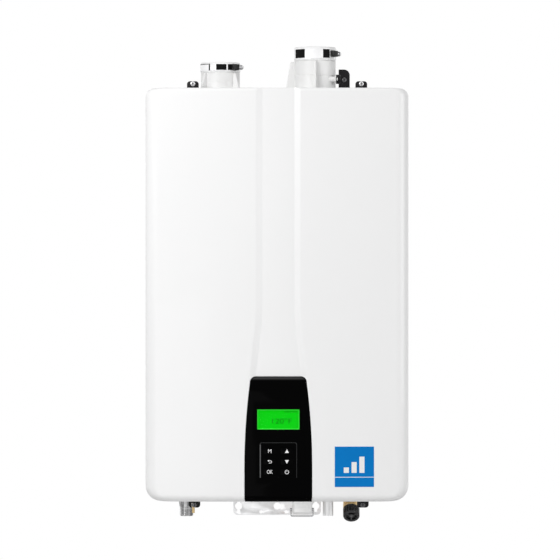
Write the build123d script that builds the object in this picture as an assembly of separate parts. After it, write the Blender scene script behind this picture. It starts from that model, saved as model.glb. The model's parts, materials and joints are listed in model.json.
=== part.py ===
from build123d import *

import math
import os

# Wall-hung condensing water heater, in millimetres.
# +X is to the right seen from the front, the front faces -Y, +Z is up, and the wall is the plane y = 0.
# The origin is the middle of the upper wall bracket's row of holes, on the wall.

# Case and cover
case_width = 440.0
case_height = 691.0
case_depth = 336.0
wall_gap = 12.0
top_above_line = 60.0
split_depth = 186.0
sheet = 1.2
top_corner = 15.0
bottom_corner = 27.0
side_edge = 22.0
top_edge = 5.5
bottom_edge = 11.5
front_crown = 5.5
front_shift = 2.2
gasket_thickness = 3.0
rim_clearance = 0.8
rim_length = 10.0
rounding_steps = 6
overrun = 5.0
gap = 0.3
fit = 0.05

# Channel down the front of the cover
channel_depth = 5.0
channel_half = 37.2
channel_floor_half = 27.0
channel_foot_half = 48.9
channel_foot_floor_half = 38.0
channel_straight = 382.8
channel_length = 484.0

# Control fascia
panel_height = 208.7
panel_half_top = 45.3
panel_half = 55.8
panel_straight = 56.0
panel_corner = 9.0
panel_clearance = 0.8
fascia_plate = 3.0
fascia_wall = 2.0
fascia_return = 14.0
fascia_bevel_height = 6.0
fascia_bevel_depth = 4.0
window_width = 70.3
window_height = 33.4
window_drop = 71.0
window_clearance = 0.2
trim_width = 61.9
trim_height = 58.6
trim_drop = 109.4
trim_line = 1.0
trim_relief = 0.3

# Keys
key_columns = 2
key_rows = 3
key_pitch_x = 28.6
key_pitch_z = 17.3
key_first_drop = 124.0
key_width = 21.0
key_height = 11.5
key_corner = 3.0
key_proud = 0.3
key_clearance = 0.3
key_lip = 1.2
key_lip_thickness = 1.5
key_travel = 0.8
key_spare = 0.1
key_cap_length = 6.0

# Boards behind the fascia
board_thickness = 1.6
display_depth = 5.0
switch_radius = 1.8
board_inset = 6.0
post_radius = 3.0
post_share = 0.8
tray_sheet = 1.5
tray_gusset_height = 90.0
tray_gusset_inset = 8.0

# Cover lugs and screws
lug_half_spacing = 143.8
lug_floor_shift = 2.6
lug_width = 20.0
lug_height = 18.5
lug_corner = 5.0
lug_sheet = 2.5
lug_foot = 14.0
lug_screw_rise = 13.9
lug_notch_half = 3.4
lug_notch_length = 8.0
screw_radius = 2.4
screw_head_radius = 4.25
screw_head_height = 2.6
screw_recess = 1.6
screw_recess_width = 1.1
nut_across = 8.0
nut_height = 4.0
screw_past_nut = 2.0

# Label on the cover
label_width = 65.4
label_height = 67.3
label_centre = 129.0
label_rise = 58.8
label_thickness = 0.25

# Vent collars
vent_depth = 130.0
intake_x = -97.7
exhaust_x = 65.5
vent_pipe_radius = 30.15
vent_fit = 0.3
intake_outer = 33.3
exhaust_outer = 35.4
intake_barrel_height = 35.7
intake_height = 53.0
exhaust_barrel_height = 56.0
exhaust_height = 79.5
collar_flange = 80.0
collar_flange_thickness = 4.0
collar_flange_corner = 8.0
gusset_thickness = 3.0
intake_gusset_top = 38.0
intake_gusset_foot = 47.7
exhaust_gusset_top = 43.0
exhaust_gusset_foot = 50.5
intake_web_angles = (45, 135, 225, 315)
exhaust_web_angles = (90, 180, 270)
intake_spigot_inner = 27.0
exhaust_spigot_inner = 23.0
spigot_wall = 2.7
spigot_length = 14.0
stop_height = 8.0
band_thickness = 0.9
band_margin = 2.4
intake_band_angle = -50.0
exhaust_band_angle = -42.0
worm_length = 24.0
worm_width = 9.0
worm_housing_length = 12.0
worm_radius = 3.6
worm_head_radius = 4.6
worm_head_length = 5.0
top_screw_radius = 1.9
top_screw_head = 3.8
top_screw_head_height = 2.4
top_screw_inset = 4.0
top_screw_spread = 20.0

# Flue test port and its bracket
port_rise = 23.8
port_offset = 22.0
port_radius = 4.7
port_bore = 3.0
port_reach = 35.7
port_cap_radius = 8.1
port_cap_length = 8.1
port_plug_length = 6.0
vent_bracket_x = 115.8
vent_bracket_width = 19.2
vent_bracket_height = 42.5
vent_bracket_corner = 10.0
vent_bracket_setback = 10.0
vent_bracket_sheet = 2.0
vent_bracket_foot = 16.0
vent_bracket_screw_rise = 24.5

# Wall brackets
upper_bracket_width = 300.0
upper_bracket_height = 52.0
bracket_sheet = 2.0
wall_hole_radius = 3.5
wall_hole_count = 5
wall_hole_pitch = 60.0
hook_rise = 14.0
hook_reach = 7.0
hook_width = 240.0
hook_clearance = 0.5
lower_bracket_width = 154.5
lower_bracket_drop = 43.0
lower_bracket_tab = 34.0
lower_bracket_step = 8.0
lower_hole_drop = 27.7
lower_hole_radius = 6.2
keyhole_spacing = 135.7
keyhole_slot_half = 2.6
keyhole_slot_length = 10.0
small_hole_radius = 2.9
small_hole_places = (-28.4, 15.6)
small_hole_drop = 37.8
lower_bracket_corner = 8.0

# Fan, duct and burner
duct_wall = 3.0
duct_bottom_drop = 68.0
fan_radius = 60.0
fan_height = 50.0
fan_wall = 2.5
fan_inlet_radius = 28.0
wheel_radius = 48.0
wheel_clearance = 4.0
wheel_disc = 2.0
wheel_blades = 18
wheel_blade_depth = 14.0
wheel_blade_thickness = 1.2
wheel_hub_radius = 9.0
shaft_radius = 4.0
motor_radius = 33.0
motor_height = 40.0
outlet_width = 46.0
hood_width = 58.0
hood_wall = 2.0
hood_gap = 12.0
hood_plate = 18.0
igniter_radius = 4.0
igniter_length = 18.0

# Heat exchangers and flue
exchanger_left = -140.0
exchanger_right = 24.0
exchanger_front = -190.0
exchanger_back = -66.0
exchanger_wall = 3.0
primary_share = 0.63909
sump_clearance = 66.0
sump_height = 30.0
sump_right = 97.0
coil_radius_share = 0.047
coil_rows = 5
coil_columns = 3
plate_count = 9
plate_thickness = 5.0
flue_radius = 28.0
flue_wall = 2.0
flap_radius = 20.0
flap_offset = 16.0
flap_thickness = 1.5
flap_pin_radius = 2.0
flap_seat_drop = 90.0
seat_hole_radius = 18.5
hanger_width = 110.0
hanger_sheet = 3.0

# Water and gas
nipple_radius = 13.35
nipple_bore = 9.5
pipe_radius = 8.0
pipe_wall = 1.0
pipe_bend = 20.0
floor_hole_clearance = 1.5
gas_x = -157.3
water_y = -80.0
gas_drop = 39.5
gas_flange_radius = 17.0
gas_flange_height = 8.0
gas_neck_height = 30.0
gas_valve_width = 48.0
gas_valve_depth = 50.0
gas_valve_height = 80.0
solenoid_radius = 13.0
solenoid_length = 30.0
cold_x = 128.0
cold_body_radius = 16.0
cold_body_height = 30.0
cold_plate_thickness = 3.0
cold_drop = 39.5
cold_flange_radius = 15.5
cold_flange_height = 15.0
filter_angle = 43.0
filter_offset = 14.0
filter_lobe_radius = 12.0
filter_lobe_drop = 6.0
filter_radius = 10.4
filter_bore = 8.6
filter_reach = 46.0
filter_cap_cover = 9.0
filter_cap_radius = 14.2
filter_cap_length = 17.8
filter_cap_wall = 4.0
filter_cap_flutes = 20
filter_flute_radius = 1.2
strainer_radius = 7.6
strainer_wall = 1.0
strainer_length = 28.0
sensor_radius = 15.0
sensor_height = 55.0
sensor_cap = 6.0
turbine_height = 16.0
turbine_blades = 6
turbine_hub = 3.5
turbine_clearance = 0.5
hot_x = 43.2
hot_y = -56.0
hot_drop = 30.0
hot_flange_height = 6.0
mixer_left = 20.0
mixer_right = 66.0
mixer_front = -92.0
mixer_back = -36.0
mixer_rise = 91.0
mixer_height = 50.0
mixer_motor_radius = 15.0
mixer_motor_length = 26.0
spindle_radius = 5.7
spindle_length = 34.0
header_height = 26.0
header_width = 32.0
header_front = -88.0
header_back = -40.0
header_rise = 32.0
cold_entry_share = 0.4584
bypass_rise = 111.0

# Condensate trap
trap_x = 42.7
trap_front = -172.0
trap_width = 34.0
trap_depth = 62.0
trap_drop = 31.5
trap_rise = 31.0
trap_corner = 6.0
trap_front_corner = 4.0
trap_wall = 2.5
trap_flange = 5.0
trap_flange_thickness = 3.0
trap_nipple_radius = 9.0
trap_nipple_height = 15.0
bail_radius = 1.2
bail_pivot_rise = 8.5
bail_pivot_setback = 7.0
bail_swing = 11.4
bail_side_gap = 0.3
bail_eye_radius = 2.6
bail_eye_half = 1.6
hose_radius = 12.0
hose_wall = 3.0
drain_x = 87.6
drain_radius = 9.0
drain_wall = 2.0
drain_bend = 13.0
drain_rise = 17.0
drain_drop = 35.0
drain_bead = 1.0
drain_bead_drop = 3.0

# Boards, gland and stud
board_left = -130.0
board_right = -12.0
board_rise = 30.0
board_height = 150.0
board_depth = 52.0
board_wall = 2.5
board_post = 8.0
chip_height = 12.0
chip_shares = ((0.25, 0.25, 0.25), (0.67, 0.25, 0.33), (0.33, 0.67, 0.33), (0.75, 0.75, 0.2))
gland_x = -92.0
gland_radius = 11.0
gland_hole = 8.0
gland_drop = 10.0
gland_rise = 14.0
stud_x = -143.3
stud_y = -167.0
stud_radius = 2.3
stud_drop = 29.0

# Places worked out from the sizes above
case_top = top_above_line
case_floor = case_top - case_height
case_half = case_width / 2
back_y = -wall_gap
split_y = -split_depth
front_y = -case_depth
vent_y = -vent_depth
shoulder_y = split_y + gasket_thickness
panel_top = case_floor + panel_height
fan_top = case_top - duct_bottom_drop
fan_bottom = fan_top - fan_height
hood_bottom = fan_bottom - motor_height - hood_gap
primary_top = hood_bottom - hood_plate
mixer_bottom = case_floor + mixer_rise
mixer_top = mixer_bottom + mixer_height
sump_bottom = mixer_top + sump_clearance
secondary_bottom = sump_bottom + sump_height
primary_height = primary_share * (primary_top - secondary_bottom)
coil_radius = coil_radius_share * primary_height
primary_bottom = primary_top - primary_height
cold_entry_z = secondary_bottom + cold_entry_share * (primary_bottom - secondary_bottom)
trap_y = trap_front + trap_depth / 2
trap_bottom = case_floor - trap_drop
trap_top = case_floor + trap_rise
sensor_bottom = case_floor + cold_body_height
sensor_top = sensor_bottom + sensor_height
gas_valve_bottom = case_floor + gas_neck_height
gas_valve_top = gas_valve_bottom + gas_valve_height
plate_back = front_y + fascia_plate
return_y = front_y + fascia_return
board_front = plate_back + display_depth
key_back = front_y - key_proud + key_cap_length
CENTRE_BOTTOM = (Align.CENTER, Align.CENTER, Align.MIN)


def block(x_span, y_span, z_span):
    """Box between two planes in each direction."""
    spans = [sorted(span) for span in (x_span, y_span, z_span)]
    low = [span[0] for span in spans]
    size = [span[1] - span[0] for span in spans]
    return Pos(*low) * Box(*size, align=(Align.MIN, Align.MIN, Align.MIN))


def rod(start, end, radius):
    """Round bar from one point to another."""
    axis = Vector(*end) - Vector(*start)
    place = Plane(origin=Vector(*start), z_dir=axis)
    return place.location * Cylinder(radius, axis.length, align=CENTRE_BOTTOM)


def sleeve(start, end, outer, inner):
    """Round bar with a bore right through."""
    return rod(start, end, outer) - rod(start, end, inner)


def pipe(points, bend, radius, wall):
    """Bent pipe along straight runs joined by arcs."""
    path = FilletPolyline(*[Vector(*point) for point in points], radius=bend)
    place = Plane(origin=path @ 0, z_dir=path % 0)
    return sweep(place * (Circle(radius) - Circle(radius - wall)), path=path)


def front_outline(inset):
    """Outline of the case seen from the front, drawn on the XZ plane."""
    half = case_half - inset
    top = case_top - inset
    low = case_floor + inset
    middle = (top + low) / 2
    sketch = Pos(0, middle) * Rectangle(2 * half, top - low)
    upper = sketch.vertices().sort_by(Axis.Y)[2:]
    sketch = fillet(upper, top_corner - inset)
    lower = sketch.vertices().sort_by(Axis.Y)[:2]
    return fillet(lower, bottom_corner - inset)


def case_prism(inset, start, end):
    """The case's front outline drawn out between two depths."""
    face = Plane.XZ * front_outline(inset)
    return Pos(0, max(start, end), 0) * extrude(face, amount=abs(end - start))


def plan_section(inset, side_cut, front_cut, z):
    """Horizontal section of the cover, crowned in front with rounded edges."""
    half = case_half - inset - side_cut
    radius = side_edge - inset
    front = front_y + inset + front_cut
    shoulder = half - radius
    back = split_y
    cheek = front + front_crown
    side_front = cheek + radius
    bow = math.sqrt(1 / 2) * radius
    lines = [
        Line((-half, back), (-half, side_front)),
        ThreePointArc((-half, side_front), (-shoulder - bow, side_front - bow), (-shoulder, cheek)),
        ThreePointArc((-shoulder, cheek), (0, front), (shoulder, cheek)),
        ThreePointArc((shoulder, cheek), (shoulder + bow, side_front - bow), (half, side_front)),
        Line((half, side_front), (half, back)),
        Line((half, back), (-half, back)),
    ]
    return Pos(0, 0, z) * make_face(Curve() + lines)


def rounded_end(inset, level, inward, corner, edge):
    """Sections of the cover from where its end rounding starts to its end."""
    corner = corner - inset
    edge = edge - inset
    sections = []
    for step in range(rounding_steps + 1):
        angle = math.pi / 2 * step / rounding_steps
        rest = corner * (1 - math.sin(angle))
        side_cut = corner * (1 - math.cos(angle))
        depth = max(edge - rest, 0)
        front_cut = edge - math.sqrt(edge ** 2 - depth ** 2)
        sections.append(plan_section(inset, side_cut, front_cut, level + inward * rest))
    return sections


def cover_body(inset):
    """Solid body of the cover, or of its inside when inset by the sheet."""
    top = case_top - inset
    low = case_floor + inset
    upper = rounded_end(inset, top, -1, top_corner, top_edge)
    lower = rounded_end(inset, low, 1, bottom_corner, bottom_edge)
    height = (top - top_corner + inset) - (low + bottom_corner - inset)
    middle = extrude(lower[0], amount=height, dir=(0, 0, 1))
    return middle + loft(upper, ruled=True) + loft(list(reversed(lower)), ruled=True)


def channel_cut(grow):
    """Space of the channel, grown by the sheet for the cover's inside."""
    top = case_top + overrun
    straight = case_top - channel_straight
    foot = case_top - channel_length
    wide = (channel_half + grow, channel_foot_half + grow, front_y - overrun - grow)
    narrow = (channel_floor_half + grow, channel_foot_floor_half + grow, front_y + channel_depth + grow)
    slope = (channel_half - channel_floor_half) * overrun / channel_depth
    faces = []
    for half, foot_half, y in (wide, narrow):
        extra = slope if y < front_y else 0
        half = half + extra
        foot_half = foot_half + extra
        outline = Polyline(
            (front_shift - half, top),
            (front_shift - half, straight),
            (front_shift - foot_half, foot - grow),
            (front_shift + foot_half, foot - grow),
            (front_shift + half, straight),
            (front_shift + half, top),
            close=True,
        )
        faces.append(Plane(origin=(0, y, 0), x_dir=(1, 0, 0), z_dir=(0, -1, 0)) * make_face(outline))
    return loft(faces, ruled=True)


def panel_outline(grow):
    """Outline of the control fascia seen from the front."""
    half = panel_half + grow
    top_half = panel_half_top + grow
    low = case_floor - grow
    straight = case_floor + panel_straight
    top = panel_top + grow
    lean = half - top_half
    rise = top - straight
    bow = (rise ** 2 + lean ** 2) / (2 * lean)
    half_rise = rise / 2
    half_lean = bow - math.sqrt(bow ** 2 - half_rise ** 2)
    lines = [
        Line((-half, low), (half, low)),
        Line((half, low), (half, straight)),
        ThreePointArc((half, straight), (half - half_lean, straight + half_rise), (top_half, top)),
        Line((top_half, top), (-top_half, top)),
        ThreePointArc((-top_half, top), (-half + half_lean, straight + half_rise), (-half, straight)),
        Line((-half, straight), (-half, low)),
    ]
    face = make_face(Curve() + lines)
    corners = face.vertices().sort_by(Axis.Y)[-2:]
    return Pos(front_shift, 0) * fillet(corners, panel_corner + grow)


def panel_prism(grow, start, end):
    """The fascia's outline drawn out between two depths."""
    face = Plane.XZ * panel_outline(grow)
    return Pos(0, max(start, end), 0) * extrude(face, amount=abs(end - start))


def key_places():
    """Centre of each key, with its row and column."""
    places = []
    for row in range(key_rows):
        for column in range(key_columns):
            x = front_shift + (column - (key_columns - 1) / 2) * key_pitch_x
            z = panel_top - key_first_drop - row * key_pitch_z
            places.append((row, column, x, z))
    return places


def lug_places():
    """Side and end of each cover lug: x, the case edge that it stands on, and which way it points."""
    places = []
    for level, way, shift in ((case_top, 1, 0), (case_floor, -1, lug_floor_shift)):
        for side in (-1, 1):
            places.append((side * lug_half_spacing + shift, level, way))
    return places


def front_cover():
    """Pressed cover, crowned in front, with the channel and the opening for the fascia."""
    outside = cover_body(0) - channel_cut(0)
    inside = cover_body(sheet) - channel_cut(sheet)
    inside = inside + case_prism(sheet, split_y - bottom_corner, split_y + overrun)
    return outside - inside - panel_prism(panel_clearance, front_y - overrun, split_y + overrun)


def lug_plate(x, level, way, front, height, thickness):
    """Upright plate with rounded free corners, standing on the edge of the case."""
    plate = block((x - lug_width / 2, x + lug_width / 2), (front, front + thickness),
                  (level, level + way * height))
    edges = plate.edges().filter_by(Axis.Y).group_by(Axis.Z)[-1 if way > 0 else 0]
    return fillet(edges, lug_corner)


def cover_lugs():
    """Four angle lugs on the cover's rim, each with a hole for its screw."""
    lugs = []
    for x, level, way in lug_places():
        lug = lug_plate(x, level, way, split_y - lug_sheet, lug_height, lug_sheet)
        foot_z = (level, level + way * lug_sheet)
        lug = lug + block((x - lug_width / 2, x + lug_width / 2), (split_y - lug_foot, split_y), foot_z)
        screw_z = level + way * lug_screw_rise
        lug = lug - rod((x, split_y - lug_foot, screw_z), (x, split_y + overrun, screw_z),
                        screw_radius + gap)
        if x < 0 and way < 0:
            end = level + way * lug_height
            notch_z = (end, end - way * lug_notch_length)
            notch = block((stud_x - lug_notch_half, stud_x + lug_notch_half), (split_y - lug_foot, split_y),
                          notch_z)
            head = rod((x, split_y - lug_foot, screw_z), (x, split_y, screw_z), screw_head_radius + gap)
            lug = lug - (notch - head)
        lugs.append(lug)
    return lugs


def cover_screws():
    """Pan-head cross screws, held in the cover's lugs."""
    screws = []
    for x, level, way in lug_places():
        z = level + way * lug_screw_rise
        seat = split_y - lug_sheet
        head = rod((x, seat - screw_head_height, z), (x, seat, z), screw_head_radius)
        head = fillet(head.edges().group_by(Axis.Y)[0], screw_head_height / 2)
        shank_end = split_y + lug_sheet + nut_height + screw_past_nut
        screw = head + rod((x, seat, z), (x, shank_end, z), screw_radius)
        arm = screw_head_radius / 2
        thin = screw_recess_width / 2
        recess_y = (seat - screw_head_height - overrun, seat - screw_head_height + screw_recess)
        screw = screw - block((x - arm, x + arm), recess_y, (z - thin, z + thin))
        screw = screw - block((x - thin, x + thin), recess_y, (z - arm, z + arm))
        screws.append(screw)
    return screws


def case_lugs():
    """Lugs on the rear case behind the cover's lugs, each with its nut."""
    lugs = []
    for x, level, way in lug_places():
        z = level + way * lug_screw_rise
        plate = lug_plate(x, level, way, split_y, lug_height, lug_sheet)
        foot_z = (level, level + way * lug_sheet)
        plate = plate + block((x - lug_width / 2, x + lug_width / 2), (split_y, split_y + lug_foot), foot_z)
        nut_y = split_y + lug_sheet
        nut = extrude(RegularPolygon(nut_across / 2, 6, major_radius=False), amount=nut_height)
        nut = Location((x, nut_y, z), (-90, 0, 0)) * nut
        hole = rod((x, split_y - overrun, z), (x, nut_y + nut_height + overrun, z), screw_radius + fit)
        lug = plate + nut - hole
        if x < 0 and way < 0:
            end = level + way * lug_height
            notch_z = (end, end - way * lug_notch_length)
            notch_x = (stud_x - lug_notch_half, stud_x + lug_notch_half)
            notch = block(notch_x, (split_y, split_y + lug_sheet), notch_z)
            keep = rod((x, split_y, z), (x, split_y + lug_foot, z), nut_across / 2 + gap)
            lug = lug - (notch - keep)
        lugs.append(lug)
    return lugs


def cover_label():
    """Thin square label that follows the cover's crown."""
    top = case_floor + label_rise + label_height / 2
    strip = extrude(plan_section(-label_thickness, 0, 0, top - label_height), amount=label_height,
                    dir=(0, 0, 1))
    strip = strip - extrude(plan_section(0, 0, 0, top - label_height), amount=label_height, dir=(0, 0, 1))
    span = (label_centre - label_width / 2, label_centre + label_width / 2)
    return strip & block(span, (front_y - overrun, front_y + side_edge), (top - label_height, top))


def case_gasket():
    """Foam gasket between the rear case's shoulder and the cover's rim."""
    ring = case_prism(0, shoulder_y, split_y)
    ring = ring - case_prism(sheet + rim_clearance, shoulder_y + overrun, split_y - overrun)
    tray = panel_prism(panel_clearance, split_y - overrun, split_y + overrun)
    return ring - (tray & block((-case_half, case_half), (split_y - overrun, split_y + overrun),
                                (case_floor - overrun, case_floor + sheet)))


def floor_holes():
    """Cuts through the floor and the top of the rear case for pipes, the trap, the gland and the collars."""
    z = (case_floor - overrun, case_floor + rim_clearance + sheet)
    low, high = z
    cuts = [
        rod((gas_x, water_y, low), (gas_x, water_y, high), nipple_radius + floor_hole_clearance),
        rod((hot_x, hot_y, low), (hot_x, hot_y, high), nipple_radius + floor_hole_clearance),
        rod((drain_x, trap_y, low), (drain_x, trap_y, high), drain_radius + floor_hole_clearance),
        rod((gland_x, water_y, low), (gland_x, water_y, high), gland_hole),
        rod((stud_x, stud_y, low), (stud_x, stud_y, high), stud_radius + fit),
        block((trap_x - trap_width / 2 - gap, trap_x + trap_width / 2 + gap),
              (trap_front - gap, trap_front + trap_depth + gap), z),
        block((cold_x - cold_body_radius - floor_hole_clearance,
               cold_x + cold_body_radius + floor_hole_clearance),
              (water_y - 2 * cold_body_radius, water_y + cold_body_radius + floor_hole_clearance), z),
    ]
    top = (case_top - sheet - overrun, case_top + overrun)
    spigots = ((intake_x, intake_spigot_inner), (exhaust_x, exhaust_spigot_inner))
    for x, inner in spigots:
        cuts.append(rod((x, vent_y, top[0]), (x, vent_y, top[1]), inner + spigot_wall + gap))
    return cuts


def hanging_hook():
    """Rail on the back of the case that hangs over the upper wall bracket."""
    top = upper_bracket_height / 2 + hook_rise
    half = hook_width / 2
    inner = -(hook_reach - bracket_sheet - hook_clearance)
    shelf = block((-half, half), (back_y, inner + bracket_sheet), (top, top + bracket_sheet))
    lip = block((-half, half), (inner, inner + bracket_sheet),
                (upper_bracket_height / 2 + hook_clearance, top))
    return shelf + lip


def rear_case():
    """Sheet case against the wall, with a stepped rim for the cover and a rail to hang it by."""
    step = sheet + rim_clearance
    case = case_prism(0, back_y, shoulder_y)
    case = case - case_prism(sheet, back_y - sheet, shoulder_y + sheet)
    case = case - case_prism(step + sheet, shoulder_y + overrun, shoulder_y - overrun)
    rim = case_prism(step, shoulder_y, split_y - rim_length) - case_prism(step + sheet, shoulder_y,
                                                                          split_y - rim_length)
    case = case + rim + hanging_hook()
    for cut in floor_holes():
        case = case - cut
    return case


def upper_wall_bracket():
    """Plate screwed to the wall, with an upturned lip that carries the case."""
    half = upper_bracket_width / 2
    rise = upper_bracket_height / 2
    plate = block((-half, half), (-bracket_sheet, 0), (-rise, rise))
    shelf = block((-half, half), (-hook_reach - bracket_sheet, 0), (rise - bracket_sheet, rise))
    lip_y = (-hook_reach - bracket_sheet, -hook_reach)
    lip = block((-half, half), lip_y, (rise - bracket_sheet, rise + hook_rise))
    bracket = plate + shelf + lip
    for place in range(wall_hole_count):
        x = (place - (wall_hole_count - 1) / 2) * wall_hole_pitch
        bracket = bracket - rod((x, overrun, 0), (x, -hook_reach, 0), wall_hole_radius)
    return bracket


def lower_wall_bracket():
    """Stepped plate below the case, with round holes and keyholes for wall screws."""
    half = lower_bracket_width / 2
    low = case_floor - lower_bracket_drop
    step = case_floor - lower_bracket_step
    plate = block((-half, half), (-bracket_sheet, 0), (low, step))
    plate = fillet(plate.edges().filter_by(Axis.Y).group_by(Axis.Z)[0], lower_bracket_corner)
    shelf = block((-half, half), (back_y, 0), (step - bracket_sheet, step))
    tab = block((-half, half), (back_y, back_y + bracket_sheet),
                (step - bracket_sheet, case_floor + lower_bracket_tab))
    bracket = plate + shelf + tab
    z = case_floor - lower_hole_drop
    for x in (-keyhole_spacing / 2, 0, keyhole_spacing / 2):
        bracket = bracket - rod((x, overrun, z), (x, -bracket_sheet - overrun, z), lower_hole_radius)
    for x in (-keyhole_spacing / 2, keyhole_spacing / 2):
        slot_z = (z - keyhole_slot_length, z + keyhole_slot_length)
        slot_y = (-bracket_sheet - overrun, overrun)
        bracket = bracket - block((x - keyhole_slot_half, x + keyhole_slot_half), slot_y, slot_z)
    for x in small_hole_places:
        hole_z = case_floor - small_hole_drop
        bracket = bracket - rod((x, overrun, hole_z), (x, -bracket_sheet - overrun, hole_z),
                                small_hole_radius)
    return bracket


def gusset(x, angle, height, inner, reach_top, reach_foot):
    """Upright web from a collar's barrel down to the case top."""
    outline = Polyline((inner, 0), (reach_foot, 0), (reach_top, height), (inner, height), close=True)
    web = extrude(Plane.XZ * make_face(outline), amount=gusset_thickness / 2, both=True)
    return Location((x, vent_y, case_top), (0, 0, angle)) * web


def collar(x, outer, barrel, height, inner, reach, foot, web_angles):
    """Moulded collar on the case top: flange, ribbed barrel, socket and a spigot into the case."""
    socket = vent_pipe_radius + vent_fit
    flange = Box(collar_flange, collar_flange, collar_flange_thickness, align=CENTRE_BOTTOM)
    flange = fillet(flange.edges().filter_by(Axis.Z), collar_flange_corner)
    body = Pos(x, vent_y, case_top) * flange
    body = body + rod((x, vent_y, case_top), (x, vent_y, case_top + barrel), outer)
    neck = socket + (outer - socket) / 2
    body = body + rod((x, vent_y, case_top + barrel), (x, vent_y, case_top + height), neck)
    for angle in web_angles:
        body = body + gusset(x, angle, barrel - band_margin, inner, reach, foot)
    body = body + rod((x, vent_y, case_top - spigot_length), (x, vent_y, case_top), inner + spigot_wall)
    body = body - rod((x, vent_y, case_top - spigot_length), (x, vent_y, case_top + height), inner)
    return body - rod((x, vent_y, case_top + stop_height), (x, vent_y, case_top + height), socket)


def intake_collar():
    """Air collar, its webs turned to the corners of its flange."""
    return collar(intake_x, intake_outer, intake_barrel_height, intake_height, intake_spigot_inner,
                  intake_gusset_top, intake_gusset_foot, intake_web_angles)


def exhaust_collar():
    """Taller flue collar with the test port's spigot."""
    body = collar(exhaust_x, exhaust_outer, exhaust_barrel_height, exhaust_height, exhaust_spigot_inner,
                  exhaust_gusset_top, exhaust_gusset_foot, exhaust_web_angles)
    y = vent_y - port_offset
    z = case_top + port_rise
    inner_x = exhaust_x + math.sqrt((vent_pipe_radius + gap) ** 2 - port_offset ** 2)
    body = body + (rod((inner_x, y, z), (exhaust_x + port_reach, y, z), port_radius)
                   - rod((exhaust_x, vent_y, case_top), (exhaust_x, vent_y, case_top + exhaust_height),
                         vent_pipe_radius + vent_fit))
    return body - rod((exhaust_x, y, z), (exhaust_x + port_reach + overrun, y, z), port_bore)


def collar_seal(x, outer, barrel, height):
    """Rubber sleeve around the top of a collar, under its band."""
    socket = vent_pipe_radius + vent_fit
    neck = socket + (outer - socket) / 2
    return sleeve((x, vent_y, case_top + barrel), (x, vent_y, case_top + height), outer, neck)


def collar_seals():
    """Sleeves of both collars."""
    return [
        collar_seal(intake_x, intake_outer, intake_barrel_height, intake_height),
        collar_seal(exhaust_x, exhaust_outer, exhaust_barrel_height, exhaust_height),
    ]


def band(x, outer, barrel, height, angle):
    """Worm-drive band around a collar's sleeve, with its housing and screw."""
    low = case_top + barrel + band_margin
    high = case_top + height - band_margin
    ring = sleeve((x, vent_y, low), (x, vent_y, high), outer + band_thickness, outer)
    middle = (low + high) / 2
    centre = outer + band_thickness + worm_radius
    housing = Pos(centre, 0, 0) * Box(2 * worm_radius, worm_housing_length, worm_width)
    saddle = Pos(outer + worm_radius / 2, 0, 0) * Box(worm_radius, worm_housing_length / 2, worm_width)
    worm = rod((centre, -worm_housing_length / 2, 0), (centre, worm_length - worm_housing_length / 2, 0),
               worm_radius)
    head_y = worm_length - worm_housing_length / 2
    head = rod((centre, head_y, 0), (centre, head_y + worm_head_length, 0), worm_head_radius)
    slot = Pos(centre, head_y + worm_head_length, 0) * Box(worm_head_radius, worm_head_length,
                                                           screw_recess_width)
    drive = housing + saddle + worm + head - slot
    drive = drive - Cylinder(outer + band_thickness / 2, 2 * worm_width)
    return ring + Location((x, vent_y, middle), (0, 0, angle)) * drive


def vent_bracket():
    """Angle bracket on the case top beside the flue collar."""
    half = vent_bracket_width / 2
    x_span = (vent_bracket_x - half, vent_bracket_x + half)
    front = vent_y + vent_bracket_setback
    y_span = (front, front + vent_bracket_sheet)
    plate = block(x_span, y_span, (case_top, case_top + vent_bracket_height))
    corner = plate.edges().filter_by(Axis.Y).group_by(Axis.Z)[-1].sort_by(Axis.X)[-1:]
    plate = fillet(corner, vent_bracket_corner)
    foot = block(x_span, (front, front + vent_bracket_foot), (case_top, case_top + vent_bracket_sheet))
    z = case_top + vent_bracket_screw_rise
    return plate + foot - rod((vent_bracket_x, front - overrun, z),
                              (vent_bracket_x, front + overrun, z), top_screw_radius + fit)


def top_screws():
    """Pan-head screws of the two collar flanges and of the vent bracket."""
    screws = []
    reach = collar_flange / 2 - top_screw_inset
    for x in (intake_x, exhaust_x):
        for side_x, side_y in ((-1, -1), (1, -1), (1, 1), (-1, 1)):
            place = (x + side_x * reach, vent_y + side_y * top_screw_spread)
            seat = case_top + collar_flange_thickness
            head = rod((*place, seat), (*place, seat + top_screw_head_height), top_screw_head)
            screws.append(fillet(head.edges().group_by(Axis.Z)[-1], top_screw_head_height / 2))
    z = case_top + vent_bracket_screw_rise
    front = vent_y + vent_bracket_setback
    head = rod((vent_bracket_x, front - top_screw_head_height, z), (vent_bracket_x, front, z),
               top_screw_head)
    head = fillet(head.edges().group_by(Axis.Y)[0], top_screw_head_height / 2)
    screws.append(head + rod((vent_bracket_x, front, z), (vent_bracket_x, front + overrun, z),
                             top_screw_radius))
    return screws


def port_cap():
    """Push-in cap of the flue test port."""
    y = vent_y - port_offset
    z = case_top + port_rise
    seat = exhaust_x + port_reach
    cap = rod((seat, y, z), (seat + port_cap_length, y, z), port_cap_radius)
    cap = fillet(cap.edges().group_by(Axis.X)[-1], port_cap_length / 4)
    plug = rod((seat - port_plug_length, y, z), (seat, y, z), port_bore - fit)
    slot = block((seat + port_cap_length * 3 / 4, seat + port_cap_length + overrun),
                 (y - port_cap_radius / 2, y + port_cap_radius / 2), (z - port_bore / 4, z + port_bore / 4))
    return cap + plug - slot


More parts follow.
